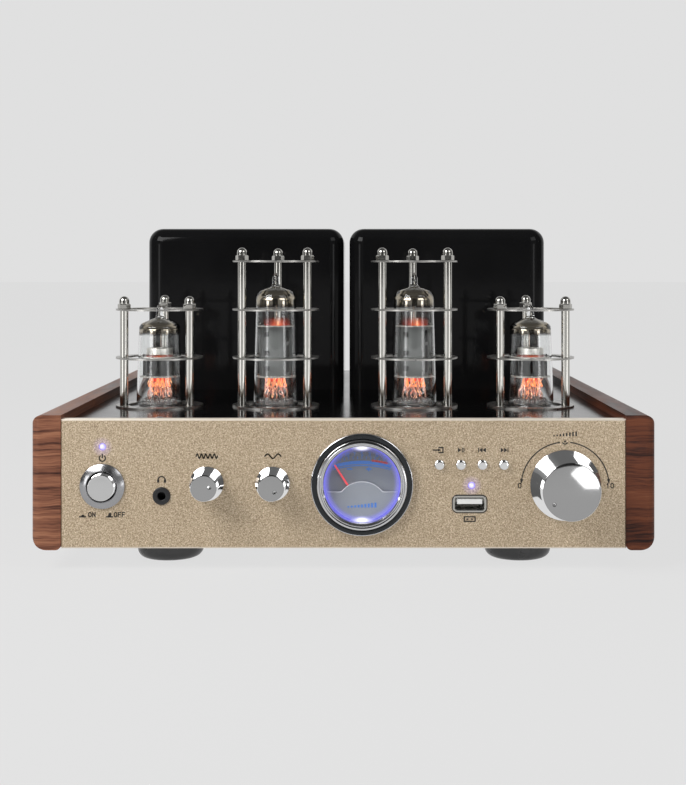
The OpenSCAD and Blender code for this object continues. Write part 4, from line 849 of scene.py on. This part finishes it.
def panel_marks(bm):
    place = front_place(0, 0)

    def line(*points):
        stroke(bm, place, points, PRINT_LINE, *INK_LAYER)

    def flat(*outline):
        prism(bm, place, outline, *INK_LAYER)

    def bow(x, z, radius, start, end):
        band(bm, place, (x, z), radius, PRINT_LINE, start, end, *INK_LAYER)

    def upright(x, half, low, high):
        bar(bm, place, x, half, low, high, *INK_LAYER)

    # power: a broken ring with a bar
    bow(POWER_X, 39.9, 1.35, 125, 415)
    line((POWER_X, 40.2), (POWER_X, 41.6))
    # pushed and released signs, with ON and OFF
    foot = 14.0
    for x, high, word, word_x in ((-115.3, 0.9, "ON", -111.2), (-103.4, 1.7, "OFF", -99.0)):
        line((x - 1.3, foot), (x + 1.3, foot))
        flat((x - 0.8, foot), (x + 0.8, foot), (x + 0.8, foot + high), (x - 0.3, foot + high))
        write(bm, place, word, word_x, foot, 1.9, 1.1, THIN_LINE, *INK_LAYER)
    # headphones: a bow with two ear pads
    bow(HEADPHONE_X, 30.2, 1.6, 0, 180)
    for side in (-1, 1):
        upright(HEADPHONE_X + side * 1.5, 0.5, 29.1, 30.5)
    # tone: a quick wave and a slow one
    for x, width, turns in ((TREBLE_X, 9.4, 5), (BASS_X, 7.0, 1.5)):
        shares = [k / 40 for k in range(41)]
        line(*[(x + (t - 0.5) * width, 40.8 + 0.95 * math.sin(2 * math.pi * turns * t)) for t in shares])
    # input: an arrow into a bracket
    x = BUTTON_X - 0.6
    line((x - 2.2, ICON_Z), (x + 0.2, ICON_Z))
    flat((x, ICON_Z - 0.7), (x + 1.2, ICON_Z), (x, ICON_Z + 0.7))
    line((x + 0.4, ICON_Z + 1.1), (x + 2.1, ICON_Z + 1.1), (x + 2.1, ICON_Z - 1.1), (x + 0.4, ICON_Z - 1.1))

    # play and pause, previous, next
    def arrow(tip, way):
        foot = tip - way * 1.5
        flat((foot, ICON_Z - way * 1.05), (tip, ICON_Z), (foot, ICON_Z + way * 1.05))

    def stop(x):
        upright(x, 0.2, ICON_Z - 1.05, ICON_Z + 1.05)

    x = BUTTON_X + BUTTON_PITCH
    arrow(x + 0.1, 1)
    stop(x + 0.55)
    stop(x + 1.25)
    for x, way in ((BUTTON_X + 2 * BUTTON_PITCH, -1), (BUTTON_X + 3 * BUTTON_PITCH, 1)):
        arrow(x, way)
        arrow(x + way * 1.5, way)
        stop(x + way * 1.75)
    # volume: rising bars, an arc with an arrow at each end, a mark at its top, plain numbers
    for k in range(8):
        upright(VOLUME_X - 4.9 + 1.4 * k, 0.35, 49.6, 50.1 + 0.24 * k)
    center = Vector((VOLUME_X, 27.6))
    radius, sweep = 19.4, 80.9
    for side in (-1, 1):
        band(bm, place, center, radius, 0.55, 90 + side * 6.5, 90 + side * sweep, *INK_LAYER)
        a = math.radians(90 + side * sweep)
        out = Vector((math.cos(a), math.sin(a)))
        along = Vector((-side * out.y, side * out.x))
        end = center + radius * out
        flat(end + 0.75 * out, end + 2.3 * along, end - 0.75 * out)
    mark_z = 47.3
    flat(*arc_points(VOLUME_X, mark_z, 0.5, 0, 330, 11))
    bow(VOLUME_X, mark_z, 1.15, 200, 340)
    for x, number in ((77.9, "0"), (117.9, "10")):
        write(bm, place, number, x, 26.8, 2.0, 1.2, THIN_LINE, *INK_LAYER)
    # plug under the socket
    left, right, low, high = USB_X - 2.4, USB_X + 2.4, 12.0, 14.0
    line((left, low), (right, low), (right, high), (left, high), (left, low))
    for side in (-1, 1):
        upright(USB_X + side * 1.0, 0.45, 12.7, 13.3)


new_object("panel_marks", mesh_of(panel_marks), INK, smooth=False)


# Knobs

KNOB_GAP, FLANGE_H, NECK_SHARE, KNOB_EDGE = 0.6, 1.8, 0.25, 0.6
DIMPLE_R, DIMPLE_INSET = 1.0, 3.3
# place, diameters of skirt and face, length, crown, turn of the dimple from the top
KNOBS = {
    "volume": (VOLUME_X, VOLUME_Z, 31.0, 25.4, 18.9, 0.40, -125),
    "treble": (TREBLE_X, TONE_Z, 15.0, 11.8, 12.8, 0.12, 83),
    "bass": (BASS_X, TONE_Z, 15.0, 11.8, 12.8, 0.12, 140),
}


def knob_mesh(x, z, base_d, face_d, length, crown, turn):
    """Skirted knob with a slightly crowned face and a dimple in it."""
    place = front_place(x, z)
    base, face = base_d / 2, face_d / 2
    neck = face + (base - face) * NECK_SHARE
    sweep = base - neck
    top = KNOB_GAP + length
    rim = top - crown
    line = [(0, KNOB_GAP), (base - 0.3, KNOB_GAP)]
    line += arc_points(base - 0.3, KNOB_GAP + 0.3, 0.3, -90, 0, 4)
    line += arc_points(base - 0.3, KNOB_GAP + FLANGE_H - 0.3, 0.3, 0, 90, 4)
    line += arc_points(base, KNOB_GAP + FLANGE_H + sweep, sweep, 262, 180, 8)
    line += arc_points(face - KNOB_EDGE, rim - KNOB_EDGE, KNOB_EDGE, 4, 88, 8)
    for k in range(1, 9):
        r = (face - KNOB_EDGE) * (1 - k / 8)
        line.append((r, top - crown * (r / (face - KNOB_EDGE)) ** 2))
    body = turned(line, place, 128)
    a = math.radians(90 - turn)
    spot = face - DIMPLE_INSET
    hole = front_place(x + spot * math.cos(a), z + spot * math.sin(a))
    height = top - crown * (spot / face) ** 2 + 0.25
    bowl = arc_points(0, height, DIMPLE_R, -90, 90, 16)
    return cut(body, turned(bowl, hole, 32))


for name, sizes in KNOBS.items():
    length, crown = sizes[4:6]
    face_y = FRONT_Y - (KNOB_GAP + length - crown - 0.2) * MM
    knob = new_object(name + "_control", knob_mesh(*sizes), knob_paint(name + "_chrome", face_y, 0.40),
                      name + "_control", angle=40)
    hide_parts(name + "_knob")


# Power button and small buttons

def power_bezel_build(bm):
    line = [(6.8, -3.0), (6.8, 2.1)] + arc_points(7.05, 2.1, 0.25, 180, 70, 5)
    line += arc_points(9.7, 0.65, 0.3, 62, 0, 5) + [(10.0, 0.0), (8.0, 0.0)]
    lathe(bm, line, front_place(POWER_X, POWER_Z), 128)


def power_cap_build(bm):
    line = [(0, -3.0), (5.9, -3.0), (5.9, 3.9)] + arc_points(5.4, 4.0, 0.5, 0, 88, 6)
    line += [(5.0, 4.46), (4.0, 4.52), (2.5, 4.57), (0, 4.6)]
    lathe(bm, line, front_place(POWER_X, POWER_Z), 96)


bezel = new_object("power_ring", mesh_of(power_bezel_build), DISHED, angle=30)
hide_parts("power_bezel")
cap = new_object("power_cap", mesh_of(power_cap_build), knob_paint("power_chrome", FRONT_Y - 0.00435, 0.62),
                 "power_push")
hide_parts("power_button")
button_chrome = knob_paint("button_chrome", FRONT_Y - 0.0017, 0.78)
for k, name in enumerate(("input", "play", "previous", "next")):
    spot = front_place(BUTTON_X + k * BUTTON_PITCH, BUTTON_Z)
    line = [(0, -4.0), (2.0, -4.0), (2.0, 1.4)] + arc_points(1.6, 1.45, 0.4, 0, 85, 5)
    line += [(1.3, 1.86), (0, 2.0)]
    button = new_object(name + "_cap", turned(line, spot, 48), button_chrome, name + "_push")
    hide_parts(name + "_button")


# Sockets on the front

usb_place = front_place(USB_X, USB_Z)


def usb_shell_build(bm):
    sections = [(rounded_outline(15.0, 7.5, 2.2), -0.8), (rounded_outline(15.0, 7.5, 2.2), 0.05),
                (rounded_outline(14.6, 7.1, 2.0), 0.25), (rounded_outline(13.4, 5.9, 1.2), 0.25),
                (rounded_outline(12.9, 5.4, 0.8), 0.05), (rounded_outline(12.5, 5.1, 0.6), -0.3),
                (rounded_outline(12.5, 5.1, 0.6), -11.5)]
    loft(bm, usb_place, sections, cap_end=True)


def usb_rim_build(bm):
    outer = rounded_outline(15.8, 8.3, 2.5)
    inner = rounded_outline(15.0, 7.5, 2.2)
    loft(bm, usb_place, [(inner, 0.0), (inner, 0.03), (outer, 0.03), (outer, 0.0), (inner, 0.0)])


def usb_tongue_build(bm):
    place = front_place(USB_X, USB_Z + 1.0)
    loft(bm, place, [(rounded_outline(11.3, 2.4, 0.2), -11.4), (rounded_outline(11.3, 2.4, 0.2), -0.6),
                     (rounded_outline(11.0, 2.1, 0.2), -0.4)], cap_end=True)


def usb_spring_build(bm):
    for x in (-2.9, 2.6):
        strip = [(-2.55, -0.8), (-1.75, -2.6), (-2.1, -4.0), (-2.55, -5.0)]
        for (ya, za), (yb, zb) in zip(strip, strip[1:]):
            corners = ((x - 0.8, ya, za), (x + 0.8, ya, za), (x + 0.8, yb, zb), (x - 0.8, yb, zb))
            bm.faces.new([bm.verts.new(usb_place(*corner)) for corner in corners])


shell = new_object("usb_shell", mesh_of(usb_shell_build), STEEL, angle=25)
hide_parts("usb_socket")
new_object("usb_outline", mesh_of(usb_rim_build), INK)
new_object("usb_tongue", mesh_of(usb_tongue_build), WHITE, angle=25)
new_object("usb_springs", mesh_of(usb_spring_build), DARK_STEEL)


def jack_build(bm):
    line = [(0, -8.0), (1.8, -8.0), (1.8, 0.5)] + arc_points(2.1, 0.5, 0.3, 180, 90, 4)
    line += arc_points(3.45, 0.3, 0.5, 80, 0, 6) + [(3.95, 0.0), (3.0, 0.0)]
    lathe(bm, line, front_place(HEADPHONE_X, HEADPHONE_Z), 64)


jack = new_object("headphone_ring", mesh_of(jack_build), BLACK)
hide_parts("headphone_jack")


# Level meter

DIAL_FACE, MASK_FACE = -6.0, -2.9
SCALE_R, SCALE_DROP = 45.0, 36.2
PIVOT_DROP, MASK_DROP, HUMP_R = 11.0, 4.0, 11.5
NEEDLE_REST, NEEDLE_L, NEEDLE_FACE = 33, 22.3, -4.6
meter_place = front_place(*METER)


def meter_bezel_build(bm):
    """Bright outer edge and stepped inner ring."""
    lathe(bm, [(22.0, 0.0), (22.65, 0.0)] + arc_points(21.95, 2.5, 0.7, 0, 72, 8), meter_place, 160)
    line = [(19.85, 3.1)] + arc_points(19.3, 4.2, 0.55, 0, 80, 6)
    line += [(19.0, 4.8), (18.75, 4.5), (18.45, 4.75), (18.1, 4.72), (17.8, 4.35), (17.4, 4.3)]
    line += [(WINDOW_R, 3.9), (WINDOW_R, 2.3), (18.4, 2.2)]
    lathe(bm, line, meter_place, 160)


def meter_band_build(bm):
    """Dark band between the bright edges."""
    line = arc_points(21.95, 2.5, 0.7, 68, 92, 3) + [(21.2, 3.2), (20.2, 3.16), (19.8, 3.05)]
    lathe(bm, line, meter_place, 160)


def needle_build(bm):
    """Tapered needle on its hub, with a short tail."""
    hub = front_place(METER[0], METER[1] - PIVOT_DROP)
    a = math.radians(90 + NEEDLE_REST)
    along = (math.cos(a), math.sin(a))
    aside = (-along[1], along[0])

    def point(reach, side):
        return (reach * along[0] + side * aside[0], reach * along[1] + side * aside[1])

    prism(bm, hub, [point(-4.0, -0.5), point(NEEDLE_L, -0.36), point(NEEDLE_L, 0.36), point(-4.0, 0.5)],
          NEEDLE_FACE - 0.3, NEEDLE_FACE)
    low, high = NEEDLE_FACE - 0.6, NEEDLE_FACE + 0.1
    lathe(bm, [(0, low), (1.6, low), (1.6, high), (0, high)], hub, 32)


def glow_ring_build(bm):
    line = [(WINDOW_R - 3.2, -0.3), (WINDOW_R - 1.6, -0.28), (WINDOW_R, -0.3)]
    lathe(bm, line, meter_place, 128)


def scale_point(angle, radius):
    a = math.radians(90 - angle)
    return radius * math.cos(a), radius * math.sin(a) - SCALE_DROP


def scale_build(bm):
    ink = (DIAL_FACE + 0.01, DIAL_FACE + 0.05)
    for drop, width in ((0.1, 1.5), (1.45, 0.45)):
        band(bm, meter_place, (0, -SCALE_DROP), SCALE_R - drop, width, 73, 107, *ink)
    for k in range(13):
        angle = -14.4 + 2.4 * k
        stroke(bm, meter_place, [scale_point(angle, SCALE_R + reach) for reach in (1.5, 2.5)], 0.3, *ink)
    for k, number in enumerate(("20", "10", "7", "5", "3", "0", "3")):
        x, y = scale_point(-12.0 + 4.0 * k, SCALE_R + 2.9)
        write(bm, meter_place, number, x, y, 1.5, 0.7, 0.24, *ink)
    for x, sign in ((-5.5, "-"), (3.1, "+")):
        write(bm, meter_place, sign, x, 5.0, 1.5, 1.9, 0.6, *ink)


def red_zone_build(bm):
    ink = (DIAL_FACE + 0.02, DIAL_FACE + 0.08)
    band(bm, meter_place, (0, -SCALE_DROP), SCALE_R + 0.9, 0.9, 75.5, 84.5, *ink)


def mask_marks_build(bm):
    """Rising bars on the mask."""
    foot = -10.9
    for k in range(9):
        bar(bm, meter_place, -6.0 + 1.5 * k, 0.45, foot, foot + 0.6 + 0.2 * k,
            MASK_FACE + 0.01, MASK_FACE + 0.05)


# a pale line along the mask's edge: a painted highlight
def painted_mask_edge_highlight_build(bm):
    half = math.degrees(math.acos((PIVOT_DROP - MASK_DROP) / HUMP_R))
    hump = arc_points(0, -PIVOT_DROP, HUMP_R, 90 + half, 90 - half, 24)
    reach = math.sqrt((WINDOW_R - 1.2) ** 2 - MASK_DROP ** 2)
    path = [(-reach, -MASK_DROP)] + hump + [(reach, -MASK_DROP)]
    tube_along(bm, [meter_place(x, y, MASK_FACE - 0.1) for x, y in path], 0.00022)


meter_ring = new_object("meter_ring", mesh_of(meter_bezel_build), RIM_BRIGHT, angle=25)
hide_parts("meter_bezel")
new_object("meter_band", mesh_of(meter_band_build), RIM_DARK)
needle = new_object("needle_bar", mesh_of(needle_build), NEEDLE, "needle", smooth=False)
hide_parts("meter_needle")
new_object("meter_glow", mesh_of(glow_ring_build), GLOW_RING)
new_object("meter_scale", mesh_of(scale_build), BLUE_INK, smooth=False)
new_object("meter_red_zone", mesh_of(red_zone_build), RED_INK, smooth=False)
new_object("meter_bars", mesh_of(mask_marks_build), BLUE_INK, smooth=False)
# pale wire along the mask's edge is a painted highlight
new_object("painted_mask_edge_highlight", mesh_of(painted_mask_edge_highlight_build), PALE_INK)


# Tubes

TUBE_Y = FRONT_Y + 0.0795
TUBE_X = (-0.093, -0.0347, 0.0347, 0.093)
BULB_H = (44.8, 60.5, 60.5, 44.8)
PLATE_H = (9.0, 24.6, 24.6, 9.0)
CROWN_L = (11.1, 15.0, 15.0, 11.1)
BASE_R, SHOULDER_R, GLASS = 11.55, 10.2, 0.9
DOME_H = (6.0, 6.9, 6.9, 6.0)
ROUND_R = (3.2, 4.9, 4.9, 3.2)
BASE_ROUND, TIP_R, TIP_H = 2.6, 1.8, 6.4
STEM_H, LEAD_H, MICA_T = 2.4, 12.2, 0.6
PIN_CIRCLE_R = 5.95
# radii of the wires and rods, in metres
LEAD_R, PIN_R, ROD_R, POST_R = 0.00036, 0.0005, 0.00042, 0.00055
GETTER_POST_R, GETTER_RING_R, COIL_R = 0.00035, 0.00045, 0.00021
MICA_LOW = STEM_H + LEAD_H
MICA_HIGH = [MICA_LOW + MICA_T + high for high in PLATE_H]
IS_TALL = (False, True, True, False)


def tube_place(i, x=0, y=0, z=0):
    """Local millimetres on a tube's axis, or beside it, from the deck up."""
    return up_place(TUBE_X[i] + x * MM, TUBE_Y + y * MM, DECK_Z + z * MM)


def around_tube(i, radius, count, step, start=0, z=0):
    """Places on a circle round a tube's axis, a number of degrees apart."""
    for k in range(count):
        a = math.radians(start + step * k)
        yield tube_place(i, radius * math.cos(a), radius * math.sin(a), z)


def bulb_line(i, inset):
    """Outline of a bulb from its open base up to the foot of the tip, as (radius, height)."""
    h = BULB_H[i]
    dome = DOME_H[i]
    low = BASE_R - inset
    r = SHOULDER_R - inset
    base_round = BASE_ROUND - inset
    round_r = ROUND_R[i] - inset
    shoulder = (r - round_r, h - inset - dome)
    run = TIP_R - shoulder[0]
    turn = math.degrees(math.atan2(dome, run) - math.acos(round_r / math.hypot(run, dome)))
    line = arc_points(low - base_round, inset + base_round, base_round, -90, 0, 8)
    for k in range(1, 12):
        t = k / 12
        line.append((low + (r - low) * t, line[8][1] + (shoulder[1] - line[8][1]) * t))
    line += arc_points(*shoulder, round_r, 0, turn, 10)
    return line


def tip_line(h):
    """Outline of the sealed tip, from the slope of the crown to the axis."""
    flare = 2.2
    line = arc_points(TIP_R + flare, h - 1.3 + flare, flare, 262, 180, 8)
    for share, rise in ((1.02, 1.6), (0.88, 2.2), (0.98, 3.0), (0.92, 4.0), (0.66, 5.0), (0.34, 5.7),
                        (0, TIP_H)):
        line.append((TIP_R * share, h + rise))
    return line


def bulb_mesh(i):
    h = BULB_H[i]
    outer = bulb_line(i, 0) + tip_line(h)
    inner = bulb_line(i, GLASS) + [(TIP_R, h - GLASS), (0.0, h - GLASS + 0.2)]
    return turned(outer + inner[::-1], tube_place(i), closed=True)


def crown_mesh(i):
    """Film on the inside of the crown, a little within the glass."""
    h = BULB_H[i]
    inset = GLASS - 0.06
    line = [point for point in bulb_line(i, inset) if point[1] > h - CROWN_L[i]]
    return turned(line + [(TIP_R, h - inset)], tube_place(i))


@meshed
def plate_mesh(bm, i):
    """Folded sheet of the plate with punched windows, its seams and its support rods."""
    low, high = MICA_LOW + MICA_T, MICA_HIGH[i]
    half_w, half_d, wall, levels = 2.5, 4.5, 0.35, 29
    place = tube_place(i)
    outline = [(half_w * 2 * t / 8 - half_w, -half_d) for t in range(8)]
    outline += arc_points(half_w, 0, half_d, -90, 90, 14)
    outline += [(half_w - half_w * 2 * t / 8, half_d) for t in range(1, 8)]
    outline += arc_points(-half_w, 0, half_d, 90, 264, 14)
    count = len(outline)

    def is_hole(k, level):
        x, y = outline[k]
        if y >= 0:
            return False
        if IS_TALL[i]:
            row = level in (23, 24, 25, 12, 13, 14, 3, 4, 5)
            return -5.9 < x < -3.6 and row or x > 5.0 and level % 9 not in (0, 1)
        return (abs(x + 0.4) < 0.7 or abs(x + 5.6) < 0.8) and 3 < level < 26

    def sheet(thickness):
        rings = []
        for level in range(levels + 1):
            shrunk = [1 - thickness / math.hypot(x, y) for x, y in outline]
            z = low + (high - low) * level / levels
            rings.append([bm.verts.new(place(x * s, y * s, z)) for (x, y), s in zip(outline, shrunk)])
        return rings

    def edge(level, k, to_level, to_k):
        """Thickness of the sheet between two places on its edge."""
        bm.faces.new((outer[level][k], outer[to_level][to_k], inner[to_level][to_k], inner[level][k]))

    outer, inner = sheet(0), sheet(wall)
    gone = [[is_hole(k, level) for k in range(count)] for level in range(levels)]
    for level in range(levels):
        for k in range(count):
            n = (k + 1) % count
            if not gone[level][k]:
                for rings in (outer, inner):
                    low_ring, high_ring = rings[level], rings[level + 1]
                    bm.faces.new((low_ring[k], low_ring[n], high_ring[n], high_ring[k]))
                continue
            for beside, at in ((k - 1, k), (n, n)):
                if not gone[level][beside]:
                    edge(level, at, level + 1, at)
            for near, at in ((level - 1, level), (level + 1, level + 1)):
                if 0 <= near < levels and not gone[near][k]:
                    edge(at, k, at, n)
    for level in (0, levels):
        for k in range(count):
            edge(level, k, level, (k + 1) % count)
    for side in (-1, 1):
        box(bm, place, (side * 7.6 - 0.8, -0.25, low + 0.2), (side * 7.6 + 0.8, 0.25, high - 0.2))
        tube_along(bm, [place(side * 8.1, 0, low - 1.2), place(side * 8.1, 0, high + 1.8)], ROD_R)


@meshed
def mica_mesh(bm, i):
    """The two notched mica discs."""
    for z in (MICA_LOW, MICA_HIGH[i]):
        radius = BASE_R - (BASE_R - SHOULDER_R) * z / (BULB_H[i] - DOME_H[i]) - GLASS - 0.35
        outline = []
        for k in range(72):
            a = 2 * math.pi * k / 72
            r = radius if k % 4 in (0, 1) else radius - 0.55
            outline.append((r * math.cos(a), r * math.sin(a)))
        prism(bm, tube_place(i), outline, z, z + MICA_T)


@meshed
def stem_mesh(bm, i):
    """Glass button with a bead round each lead and ridges round its rim."""
    r, top = BASE_R - BASE_ROUND - 0.12, STEM_H
    button = [(0, 0.1), (r - 0.3, 0.1), (r, 0.5), (r, top - 0.5), (r - 0.5, top), (0, top)]
    lathe(bm, button, tube_place(i), 64)
    bead = [(1.5, top - 0.05), (1.25, top + 0.7), (0.8, top + 1.5), (0.0, top + 1.9)]
    for place in around_tube(i, PIN_CIRCLE_R, 9, 36, -54):
        lathe(bm, bead, place, 16)
    ridge = [(1.0, top - 0.05), (0.95, top + 0.7), (0.6, top + 1.4), (0.0, top + 1.7)]
    for place in around_tube(i, 7.7, 20, 18):
        lathe(bm, ridge, place, 12)


@meshed
def lead_mesh(bm, i):
    """Bent leads from the stem up to the lower mica, the pins, and the getter ring on its post."""
    rng = random.Random(20 + i)
    ring_z = BULB_H[i] - DOME_H[i] - 0.4
    place = tube_place(i)
    for k in range(9):
        a = math.radians(36 * (k + 1) - 90)
        x, y = PIN_CIRCLE_R * math.cos(a), PIN_CIRCLE_R * math.sin(a)
        end = rng.uniform(1.5, 5.2)
        b = a + rng.uniform(-0.5, 0.5)
        ex, ey = end * math.cos(b), end * math.sin(b)
        knee = rng.uniform(0.35, 0.6)
        path = []
        for s in range(11):
            t = s / 10
            w = 0 if t < knee - 0.2 else min(1, (t - knee + 0.2) / 0.45)
            w = w * w * (3 - 2 * w)
            path.append(place(x + (ex - x) * w, y + (ey - y) * w, STEM_H + 0.5 + (LEAD_H - 0.4) * t))
        tube_along(bm, path, LEAD_R)
        tube_along(bm, [place(x, y, -6.8), place(x, y, 2.8)], PIN_R)
    tube_along(bm, [place(0, 4.5, MICA_HIGH[i]), place(0, 4.5, ring_z)], GETTER_POST_R)
    tube_along(bm, [place(x, y, ring_z) for x, y in arc_points(0, 0, 4.5, 0, 360, 40)], GETTER_RING_R)


@meshed
def heater_mesh(bm, i):
    """White-hot heater legs, in pairs that spread down from the lower mica."""
    rng = random.Random(40 + i)
    place = tube_place(i)
    for x in (-3.6, -0.6, 1.6, 4.2):
        depth = rng.uniform(-2.6, -0.8)
        for way in (-1, 1):
            reach = way * rng.uniform(0.5, 1.5)
            shares = [s / 7 for s in range(8)]
            path = [place(x + reach * t ** 1.5, depth - 0.8 * t, MICA_LOW - 0.1 - 4.6 * t) for t in shares]
            tube_along(bm, path, LEAD_R)


@meshed
def tangle_mesh(bm, i):
    """Hot coiled wires between the stem and the lower mica, thick in the short tubes."""
    rng = random.Random(60 + i)
    place = tube_place(i)
    for k in range(10 if IS_TALL[i] else 24):
        a = rng.uniform(0, 2 * math.pi)
        r = rng.uniform(2.0, 6.6)
        sway = rng.uniform(0.6, 1.8)
        beat = rng.uniform(1.0, 2.4)
        foot = rng.uniform(3.6, 6.0)
        path = []
        for s in range(15):
            t = s / 14
            b = a + 0.16 * sway * math.sin(6.28 * beat * t)
            q = r + sway * 0.5 * math.sin(6.28 * beat * t + 1.4) - (1 - t) * 0.6
            path.append(place(q * math.cos(b), q * math.sin(b), foot + (MICA_LOW - 0.4 - foot) * t))
        tube_along(bm, path, COIL_R)


@meshed
def ember_mesh(bm, i):
    """Red cathode ends under the lower mica."""
    low = MICA_LOW
    line = [(0, low - 2.4), (1.0, low - 2.3), (1.1, low - 0.1), (0, low)]
    for x in (-2.4, 0.0, 2.4):
        lathe(bm, line, tube_place(i, x, -0.6), 20)


def haze_mesh(i):
    """Glow that stands on the upper mica."""
    top = MICA_HIGH[i] + MICA_T
    reach, rise, shift = (6.4, 4.4, 0.6) if IS_TALL[i] else (6.7, 1.0, 0.0)
    line = [(reach, top + 0.02), (reach, top + 0.3 * rise), (reach * 0.94, top + rise)]
    return turned(line, tube_place(i, shift), 48)


def crest_mesh(i):
    """What stands over the upper mica: a lit post in a tall tube, a shield cup in a short one."""
    top = MICA_HIGH[i] + MICA_T
    place = tube_place(i)
    if IS_TALL[i]:
        ends = [place(1.3, -4.6, top + 0.1), place(1.3, -4.6, top + 3.6)]
        return mesh_of(lambda bm: tube_along(bm, ends, POST_R))
    line = [(0, top + 1.0), (6.2, top + 1.0), (6.5, top + 1.2), (6.5, top + 3.7)]
    line += arc_points(6.1, top + 3.9, 0.4, 0, 90, 4)
    line += [(3.0, top + 4.3), (2.8, top + 3.9), (0, top + 3.9)]
    return turned(line, place, 48)


for i in range(4):
    tag = "tube_%d" % (i + 1)
    bulb = new_object(tag + "_glass", bulb_mesh(i), BULB)
    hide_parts(tag + "_bulb")
    plate = new_object(tag + "_plate", plate_mesh(i), PLATE if IS_TALL[i] else DARK_PLATE)
    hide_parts(tag + "_mount")
    new_object(tag + "_crown", crown_mesh(i), GETTER)
    new_object(tag + "_micas", mica_mesh(i), MICA)
    new_object(tag + "_stem", stem_mesh(i), BEADS)
    crest = PAINTED_GLOW_POST if IS_TALL[i] else CUP
    for name, make, paint in (("_leads", lead_mesh, LEAD), ("_heater", heater_mesh, HEATER),
                              ("_embers", ember_mesh, EMBER), ("_tangle", tangle_mesh, GLOW_WIRE),
                              ("_haze", haze_mesh, HAZE), ("_crest", crest_mesh, crest)):
        new_object(tag + name, make(i), paint)


# Transformer covers: drawn cans with full round corners

COVER_EDGE, COVER_CORNER = 8.0, 9.0


def cover_mesh(node):
    low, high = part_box(node)
    w, d, h = (high - low) / MM
    place = up_place((low.x + high.x) / 2, (low.y + high.y) / 2, low.z)
    bend = h - COVER_EDGE
    sections = [(rounded_outline(w, d, COVER_CORNER, 10), z) for z in (0.0, bend - 1.0, bend)]
    for k in range(1, 11):
        a = math.radians(9 * k)
        inset = COVER_EDGE * (1 - math.cos(a))
        outline = rounded_outline(w - 2 * inset, d - 2 * inset, COVER_CORNER - inset, 10)
        sections.append((outline, bend + COVER_EDGE * math.sin(a)))
    return mesh_of(lambda bm: loft(bm, place, sections, cap_start=True, cap_end=True))


for side in ("left", "right"):
    node = side + "_transformer_cover"
    cover = new_object(side + "_cover", cover_mesh(node), COVER)
    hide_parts(node)


# Fittings of the rear panel

PHONO_PITCH, PIN_PITCH, PIN_RISE = 18.0, 7.0, 2.0


def rear_middle(node):
    """Place of a rear node's middle, with the reach of its end from the rear face."""
    low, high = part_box(node)
    place = rear_place((low.x + high.x) / 2 / MM, ((low.z + high.z) / 2 - PANEL_Z) / MM)
    return place, (high.y - REAR_Y) / MM


def insulator_mesh(aside):
    place, end = rear_middle("phono_jacks")

    def jack(x, y, z):
        return place(x + aside, y, z)
    line = [(1.66, end - 0.2), (1.72, end + 0.03), (3.45, end + 0.03), (3.55, end - 0.2)]
    return turned(line, jack, 48)


def inlet_pins_build(bm):
    place, end = rear_middle("power_inlet")
    for aside in (-1, 0, 1):
        x = aside * PIN_PITCH
        y = PIN_RISE if aside == 0 else -PIN_RISE
        box(bm, place, (x - 1.03, y - 2.03, -12.0), (x + 1.03, y + 2.03, -end + 0.03))


def rear_marks_build(bm):
    """Plus and minus signs over the speaker posts."""
    for i in range(1, 5):
        place = rear_middle("speaker_cap_%d" % i)[0]
        stroke(bm, place, [(-1.4, 11.5), (1.4, 11.5)], 0.6, *INK_LAYER)
        if i % 2:
            stroke(bm, place, [(0, 10.1), (0, 12.9)], 0.6, *INK_LAYER)


new_object("phono_insulator_1", insulator_mesh(PHONO_PITCH / 2), WHITE)
new_object("phono_insulator_2", insulator_mesh(-PHONO_PITCH / 2), RED)
new_object("inlet_pins", mesh_of(inlet_pins_build), ZINC, smooth=False)
new_object("rear_marks", mesh_of(rear_marks_build), PALE_INK, smooth=False)


# Cap nuts of the cages

CAGE_R, RING_PITCH, RING_T = 18.7, 24.0, 0.8
TIERS = (2, 3, 3, 2)


def nuts_build(bm):
    """Acorn nuts: a chamfered hexagon under a dome."""
    wide, small = arc_points(0, 0, 3.2, 0, 300, 5), arc_points(0, 0, 2.85, 0, 300, 5)
    nut = [(small, 0.0), (wide, 0.25), (wide, 2.25), (small, 2.6)]
    dome = [(2.5, 2.3), (2.5, 3.85)] + arc_points(0, 3.85, 2.5, 6, 90, 14)
    for i in range(4):
        for place in around_tube(i, CAGE_R, 3, 120, 90, TIERS[i] * RING_PITCH + RING_T):
            loft(bm, place, nut, cap_start=True, cap_end=True)
            lathe(bm, dome, place, 32)


nuts = new_object("cap_nuts", mesh_of(nuts_build), STEEL, angle=30)
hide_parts("cage_cap_nuts")
